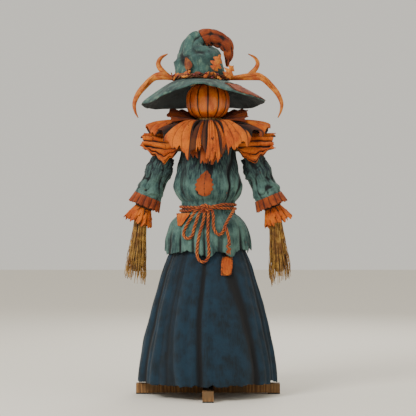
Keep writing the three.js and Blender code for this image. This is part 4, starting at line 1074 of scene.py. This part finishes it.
def leafMatrix(at, turn, lean, tip=0.0):
    return (Matrix.Translation(at) @ Matrix.Rotation(math.radians(turn), 4, "Z")
            @ Matrix.Rotation(math.radians(tip), 4, "X")
            @ Matrix.Rotation(math.radians(-lean), 4, "Y"))


leafLook = {"hat_leaf_brown": (56, 38, "plain", leafBrown, "leaf_brown", -27, 6),
            "hat_leaf_oak": (74, 56, "oak", leafOrange, "leaf_orange", 28, -29),
            "hat_leaf_maple": (60, 58, "maple", leafOrange, "leaf_orange", 25, -40)}
leafLift = 6
stalks = emptyMesh()
for name, (length, width, kind, finish, slotName, turn, lean) in leafLook.items():
    low, high = boxOf(name)
    outwards = around(leafLift, leafLift, math.radians(turn), 0)
    spot = leafMatrix((low + high) / 2 + outwards, turn, lean)
    mesh = growLeaf(emptyMesh(), length, width, kind, 9, spot)
    finishPiece(name + "_veined", mesh, finish, "hat", [name], 1.4, 1)
    foot = spot @ Vector((0, -2, 6 - length / 2))
    away = Vector((foot.x - vineMiddle.x, foot.y, 0)).normalized()
    root = vineCentre + away * (vineRadius + 3)
    path = smoothPath([foot, (foot + root) / 2 + away * 3, root], 2)
    sweep(stalks, path, 8, lambda share, angle: (1.2 + share, 0.5))
finishPiece("hat_leaf_stalks", stalks, vineBark, "hat")

trimLook = {"leaves": 34, "berries": 17}
smallOrange, smallBrown, berries = emptyMesh(), emptyMesh(), emptyMesh()
for count in range(trimLook["leaves"]):
    turn = count * 2 * math.pi / trimLook["leaves"] + luck.uniform(-0.1, 0.1)
    at = vineCentre + around(vineRadius + 9, vineRadius + 9, turn, luck.uniform(-4, 16))
    spot = leafMatrix(at, math.degrees(turn), luck.choice((-1, 1)) * luck.uniform(35, 100),
                      luck.uniform(-30, 10))
    growLeaf(smallOrange if count % 3 else smallBrown, luck.uniform(28, 46), luck.uniform(15, 23),
             luck.choice(("plain", "oak")), 5, spot, 8, 16)
finishPiece("hat_small_leaves_orange", smallOrange, leafOrange, "hat", (), 1.2)
finishPiece("hat_small_leaves_brown", smallBrown, leafBrown, "hat", (), 1.2)
for count in range(trimLook["berries"]):
    turn = (count - 6) * 0.21 + luck.uniform(-0.04, 0.04)
    at = vineCentre + around(vineRadius + 8, vineRadius + 8, turn, luck.uniform(-9, 10))
    size = luck.uniform(4.2, 6.2)
    bmesh.ops.create_icosphere(berries, subdivisions=3, radius=size * mm,
                               matrix=Matrix.Translation(at * mm) @ Matrix.Diagonal((1, 1, 0.86, 1)))
finishPiece("hat_berries", berries, berry, "hat")

# Liner: a padded straw ring inside the hat, which rests on the pumpkin and leaves room for its stem.
linerLook = {"radius": 96, "hole": 46.5, "half": 12.6, "lump": 1.8}
linerMiddle = (boxOf("hat_liner")[0].z + boxOf("hat_liner")[1].z) / 2


def linerPlace(u, v):
    angle, turn = 2 * math.pi * u, 2 * math.pi * v
    rim = around(linerLook["radius"], linerLook["radius"], angle, 0) + Vector((hatMiddle, 0, 0))
    hole = around(linerLook["hole"], linerLook["hole"], angle, 0)
    lumps = 1 - linerLook["lump"] / linerLook["half"] * abs(rough(angle, 30 * math.sin(turn), 40, 9))
    across = math.copysign(abs(math.cos(turn)) ** 0.5, -math.cos(turn)) * lumps
    up = math.copysign(abs(math.sin(turn)) ** 0.5, math.sin(turn)) * lumps * linerLook["half"]
    point = (rim + hole) / 2 + (rim - hole) / 2 * across + Vector((0, 0, linerMiddle + up))
    return point, 0.6 + 0.4 * pleat(60 * angle)


liner = finishPiece("hat_liner_wound", clothMesh(160, 40, linerPlace, (460, 130)), wadding, "hat",
                    ["hat_liner"])

for side, sign in (("left", -1), ("right", 1)):
    root = vineRadius + 6 + sign * hatMiddle + 2 * gap
    husks = emptyMesh()
    blades = [([(root - 4, 10), (192, 14), (228, 10), (262, -20), (292, -56), (308, -96), (304, -130),
                (292, -156)], 27, 0),
              ([(root - 4, 12), (160, 16), (182, 32), (202, 54), (208, 74), (196, 96), (168, 112)], 22, 3),
              ([(root - 4, 8), (176, 22), (212, 24), (244, 4), (266, -30)], 19, -4)]
    for points, width, depth in blades:
        spine = smoothPath([Vector((sign * x, depth, z + hatBase)) for x, z in points], 3)

        def huskPlace(u, v, spine=spine, width=width):
            at = v * (len(spine) - 1)
            index = min(len(spine) - 2, int(at))
            point = spine[index].lerp(spine[index + 1], at - index)
            tangent = (spine[index + 1] - spine[max(0, index - 1)]).normalized()
            across = tangent.cross(Vector((0, 1, 0))).normalized()
            taper = (0.45 + 0.55 * math.sin(math.pi * min(1, v * 1.6 + 0.2) / 2)) * (1 - v ** 3.2 * 0.95)
            half = width / 2 * taper
            place = (2 * u - 1) * half
            ribs = pleat(14 * u * math.pi)
            bow = 4.5 * math.cos((2 * u - 1) * math.pi / 2) + 0.8 * ribs + 2 * math.sin(7 * v + u)
            # the second value is painted shade, darker between the ribs
            return point + across * place + Vector((0, -bow, 0)), 0.35 + 0.65 * ribs
        clothMesh(22, 60, huskPlace, (width, pathLength(spine)), False, husks)
    finishPiece(f"husk_{side}_ribbed", husks, huskFibre, "hat", [f"husk_{side}"], 1.2)
print("hat made")


# Sewn patches: each lies on its garment, and the square one shows dark stitches round its edge.
def layOn(surface, x, z, lift):
    depths = []
    for dx in (-10, 0, 10):
        for dz in (-10, 0, 10):
            hit = surfaces[surface].ray_cast(Vector(((x + dx) * mm, -0.6, (z + dz) * mm)),
                                             Vector((0, 1, 0)))[0]
            if hit:
                depths.append(hit.y / mm)
    middleDepth = sum(depths) / len(depths)
    return Vector((x, min(middleDepth, min(depths) + 4) - lift, z))


patchLook = {
    "chest_leaf_sewn": ("tunic", (-15, 876), (80, 108), "leaf", rustCloth, "rust_cloth", ["chest_leaf"]),
    "hip_patch": ("tunic", (-106, 728), (62, 52), "flap", orangeCloth, "orange_cloth", ()),
    "robe_patch": ("robe", (77, 538), (46, 76), "square", orangeCloth, "orange_cloth", ()),
}
stitches = emptyMesh()
for name, (surface, (x, z), (width, height), shape, cloth, slotName, nodes) in patchLook.items():

    def patchPlace(u, v):
        side, rise = 2 * u - 1, 2 * v - 1
        if shape == "leaf":
            half = max(0.03, leafWidth(v, "beech")) * 0.95
            across, up = side * half + 0.16 * rise ** 2 + 0.1 * rise, rise
            veins = math.exp(-(((v * 5 + abs(across) * 1.2) % 1 - 0.5) / 0.12) ** 2)
            openness = 0.9 - 0.7 * math.exp(-(side * half / 0.05) ** 2) - 0.4 * veins
        elif shape == "flap":
            wave = 0.06 * noiseAt(v * 7, side, 3)
            across = side * (0.22 + 0.72 * v + wave) - 0.5 * (1 - v) + 0.12
            up = rise + 0.14 * noiseAt(side * 4, rise, 8)
            openness = 0.95 - 0.8 * (1 - pleat(9 * side + 1)) ** 2
        else:
            worn = 0.07 * noiseAt(side * 3, rise * 3, x)
            across = side * (math.sqrt(1 - 0.18 * rise ** 2) + worn) + 0.12 * rise
            up = rise * (math.sqrt(1 - 0.18 * side ** 2) + worn)
            openness = 0.95 - 0.4 * max(abs(side), abs(rise)) ** 8
        return layOn(surface, x + across * width / 2, z + up * height / 2, 2.6), openness
    mesh = clothMesh(30, 30, patchPlace, (width, height), False)
    patch = finishPiece(name, mesh, cloth, "stand", nodes, 1.6)
    if shape != "square":
        continue
    for count in range(26):
        turn = 2 * math.pi * count / 26 + 0.1
        across = math.copysign(abs(math.sin(turn)) ** 0.5, math.sin(turn)) * width / 2
        up = math.copysign(abs(math.cos(turn)) ** 0.5, math.cos(turn)) * height / 2
        ends = [layOn(surface, x + across * far, z + up * far, rise)
                for far, rise in ((0.86, 4.0), (0.98, 5.2), (1.1, 1.5))]
        sweep(stitches, smoothPath(ends, 3), 6, lambda share, angle: (0.9, 0.8))
finishPiece("patch_stitches", stitches, threadDark, "stand")

# A long rust patch along the right of the brim, laid on the felt and stitched down.
brimPatchLook = {"from": 38, "to": 92, "inner": 0.42, "outer": 0.97, "lift": 2.2}


def brimPatchPlace(u, v):
    side, rise = 2 * u - 1, 1 - v
    worn = 0.06 * noiseAt(side * 3, rise * 4, 2)
    angle = math.radians(brimPatchLook["from"] + (brimPatchLook["to"] - brimPatchLook["from"]) * (u + worn))
    out = brimPatchLook["inner"] + (brimPatchLook["outer"] - brimPatchLook["inner"]) * rise
    out += 0.1 * (1 - side ** 2) * (rise - 0.6) + worn - 0.1 * side ** 4 * (rise - 0.5)
    point, openness = brimPlace(angle / (2 * math.pi), 1 - min(0.985, out))
    lift = Vector((math.sin(angle), -math.cos(angle), 1.3)).normalized() * brimPatchLook["lift"]
    return point + lift, 0.9 - 0.5 * max(abs(side), abs(2 * rise - 1)) ** 8


brimPatch = finishPiece("brim_patch", clothMesh(48, 26, brimPatchPlace, (190, 80), False), rustCloth,
                        "hat", (), 1.6)
brimStitches = emptyMesh()
for count in range(44):
    along = 4 * (count + 0.5) / 44
    edge, share = int(along), along % 1
    spot = [(share, 0.02), (0.98, share), (1 - share, 0.98), (0.02, 1 - share)][edge]
    middlePoint = brimPatchPlace(0.5, 0.5)[0]
    held = brimPatchPlace(*spot)[0]
    outwards = (held - middlePoint).normalized()
    ends = [held - outwards * 5 + Vector((0, 0, 0.8)), held + Vector((0, 0, 1.6)),
            held + outwards * 5 - Vector((0, 0, 1.6))]
    sweep(brimStitches, smoothPath(ends, 3), 6, lambda share, angle: (0.9, 0.8))
finishPiece("brim_stitches", brimStitches, threadDark, "hat")

# Straw pushed out at the neck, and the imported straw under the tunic.
tuft = emptyMesh()
for count in range(60):
    aim, lean = luck.uniform(0, 2 * math.pi), luck.uniform(0.3, 1.1)
    start = around(30, 30, aim, neckHeight - 6)
    end = around(30 + 40 * lean, 30 + 40 * lean, aim + luck.uniform(-0.3, 0.3),
                 neckHeight + luck.uniform(2, 12))
    strawStalk(tuft, straight(start, end, Vector((0, 0, 3)), 4), luck.uniform(0.9, 1.4))
finishPiece("neck_straw", tuft, strawFibre, "stand")

packed = emptyMesh()
sweep(packed, [Vector((0, 0, neckHeight - drop)) for drop in range(44, 338, 7)], 48,
      lambda share, angle: (1, 1))
for vert in packed.verts:
    angle, drop = math.atan2(vert.co.x, -vert.co.y), neckHeight - vert.co.z / mm
    half = between(tunicTable, drop) - 17 + 2 * math.sin(13 * angle + drop / 7)
    ends = min(1, (drop - 44) / 14 + 0.3, (338 - drop) / 14 + 0.3)
    vert.co = around(half * ends, (half * between(tunicDepth, drop) - 3) * ends, angle,
                     neckHeight - drop) * mm
packed = finishPiece("torso_straw", packed, wadding, "stand", ["torso_stuffing"])
print("patches and straw made")

# Nodes carried over as they are, each with its real finish.
carried = {
    timber: ["base_rail_x", "base_rail_y", "post", "crossbar", "head_rest", "arm_batten_left",
             "arm_batten_right"],
    steel: ["post_bracket", "bracket_screw_left", "bracket_screw_right", "crossbar_bolt", "crossbar_nut",
            "robe_hoop", "shoulder_bolt_left", "shoulder_bolt_right", "wing_nut_left", "wing_nut_right"],
    rubber: ["foot_pad_left", "foot_pad_right", "foot_pad_front", "foot_pad_back"],
}
for material, names in carried.items():
    for name in names:
        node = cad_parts[name]
        node.data.materials.clear()
        node.data.materials.append(material)

# Floor, light and world.
stageLook = {"floor": "#efe9dc", "world": "#f4f0e6", "worldPower": 0.85}
floor = bmesh.new()
bmesh.ops.create_grid(floor, x_segments=4, y_segments=4, size=12)
floorData = bpy.data.meshes.new("floor")
floor.to_mesh(floorData)
floor.free()
backdrop = bpy.data.objects.new("floor", floorData)
bpy.context.scene.collection.objects.link(backdrop)
paper, tree, shader = startMaterial("backdrop_paper", 0.95)
shader.inputs["Base Color"].default_value = srgb(stageLook["floor"])
floorData.materials.append(paper)
world = bpy.data.worlds.new("studio")
world.use_nodes = True
world.node_tree.nodes["Background"].inputs["Color"].default_value = srgb(stageLook["world"])
world.node_tree.nodes["Background"].inputs["Strength"].default_value = stageLook["worldPower"]
bpy.context.scene.world = world
lights = {"key": ((-2.6, -2.8, 3.3), 1.6, 150), "fill": ((3.2, -2.4, 1.5), 2.5, 22),
          "rim": ((0.8, 3.0, 2.8), 2.0, 60)}
for name, (place, size, power) in lights.items():
    light = bpy.data.lights.new(name, "AREA")
    light.size = size
    light.energy = power
    lamp = bpy.data.objects.new(name, light)
    lamp.location = place
    lamp.rotation_euler = (Vector((0, 0, 0.85)) - Vector(place)).to_track_quat("-Z", "Y").to_euler()
    bpy.context.scene.collection.objects.link(lamp)
print("stage set")
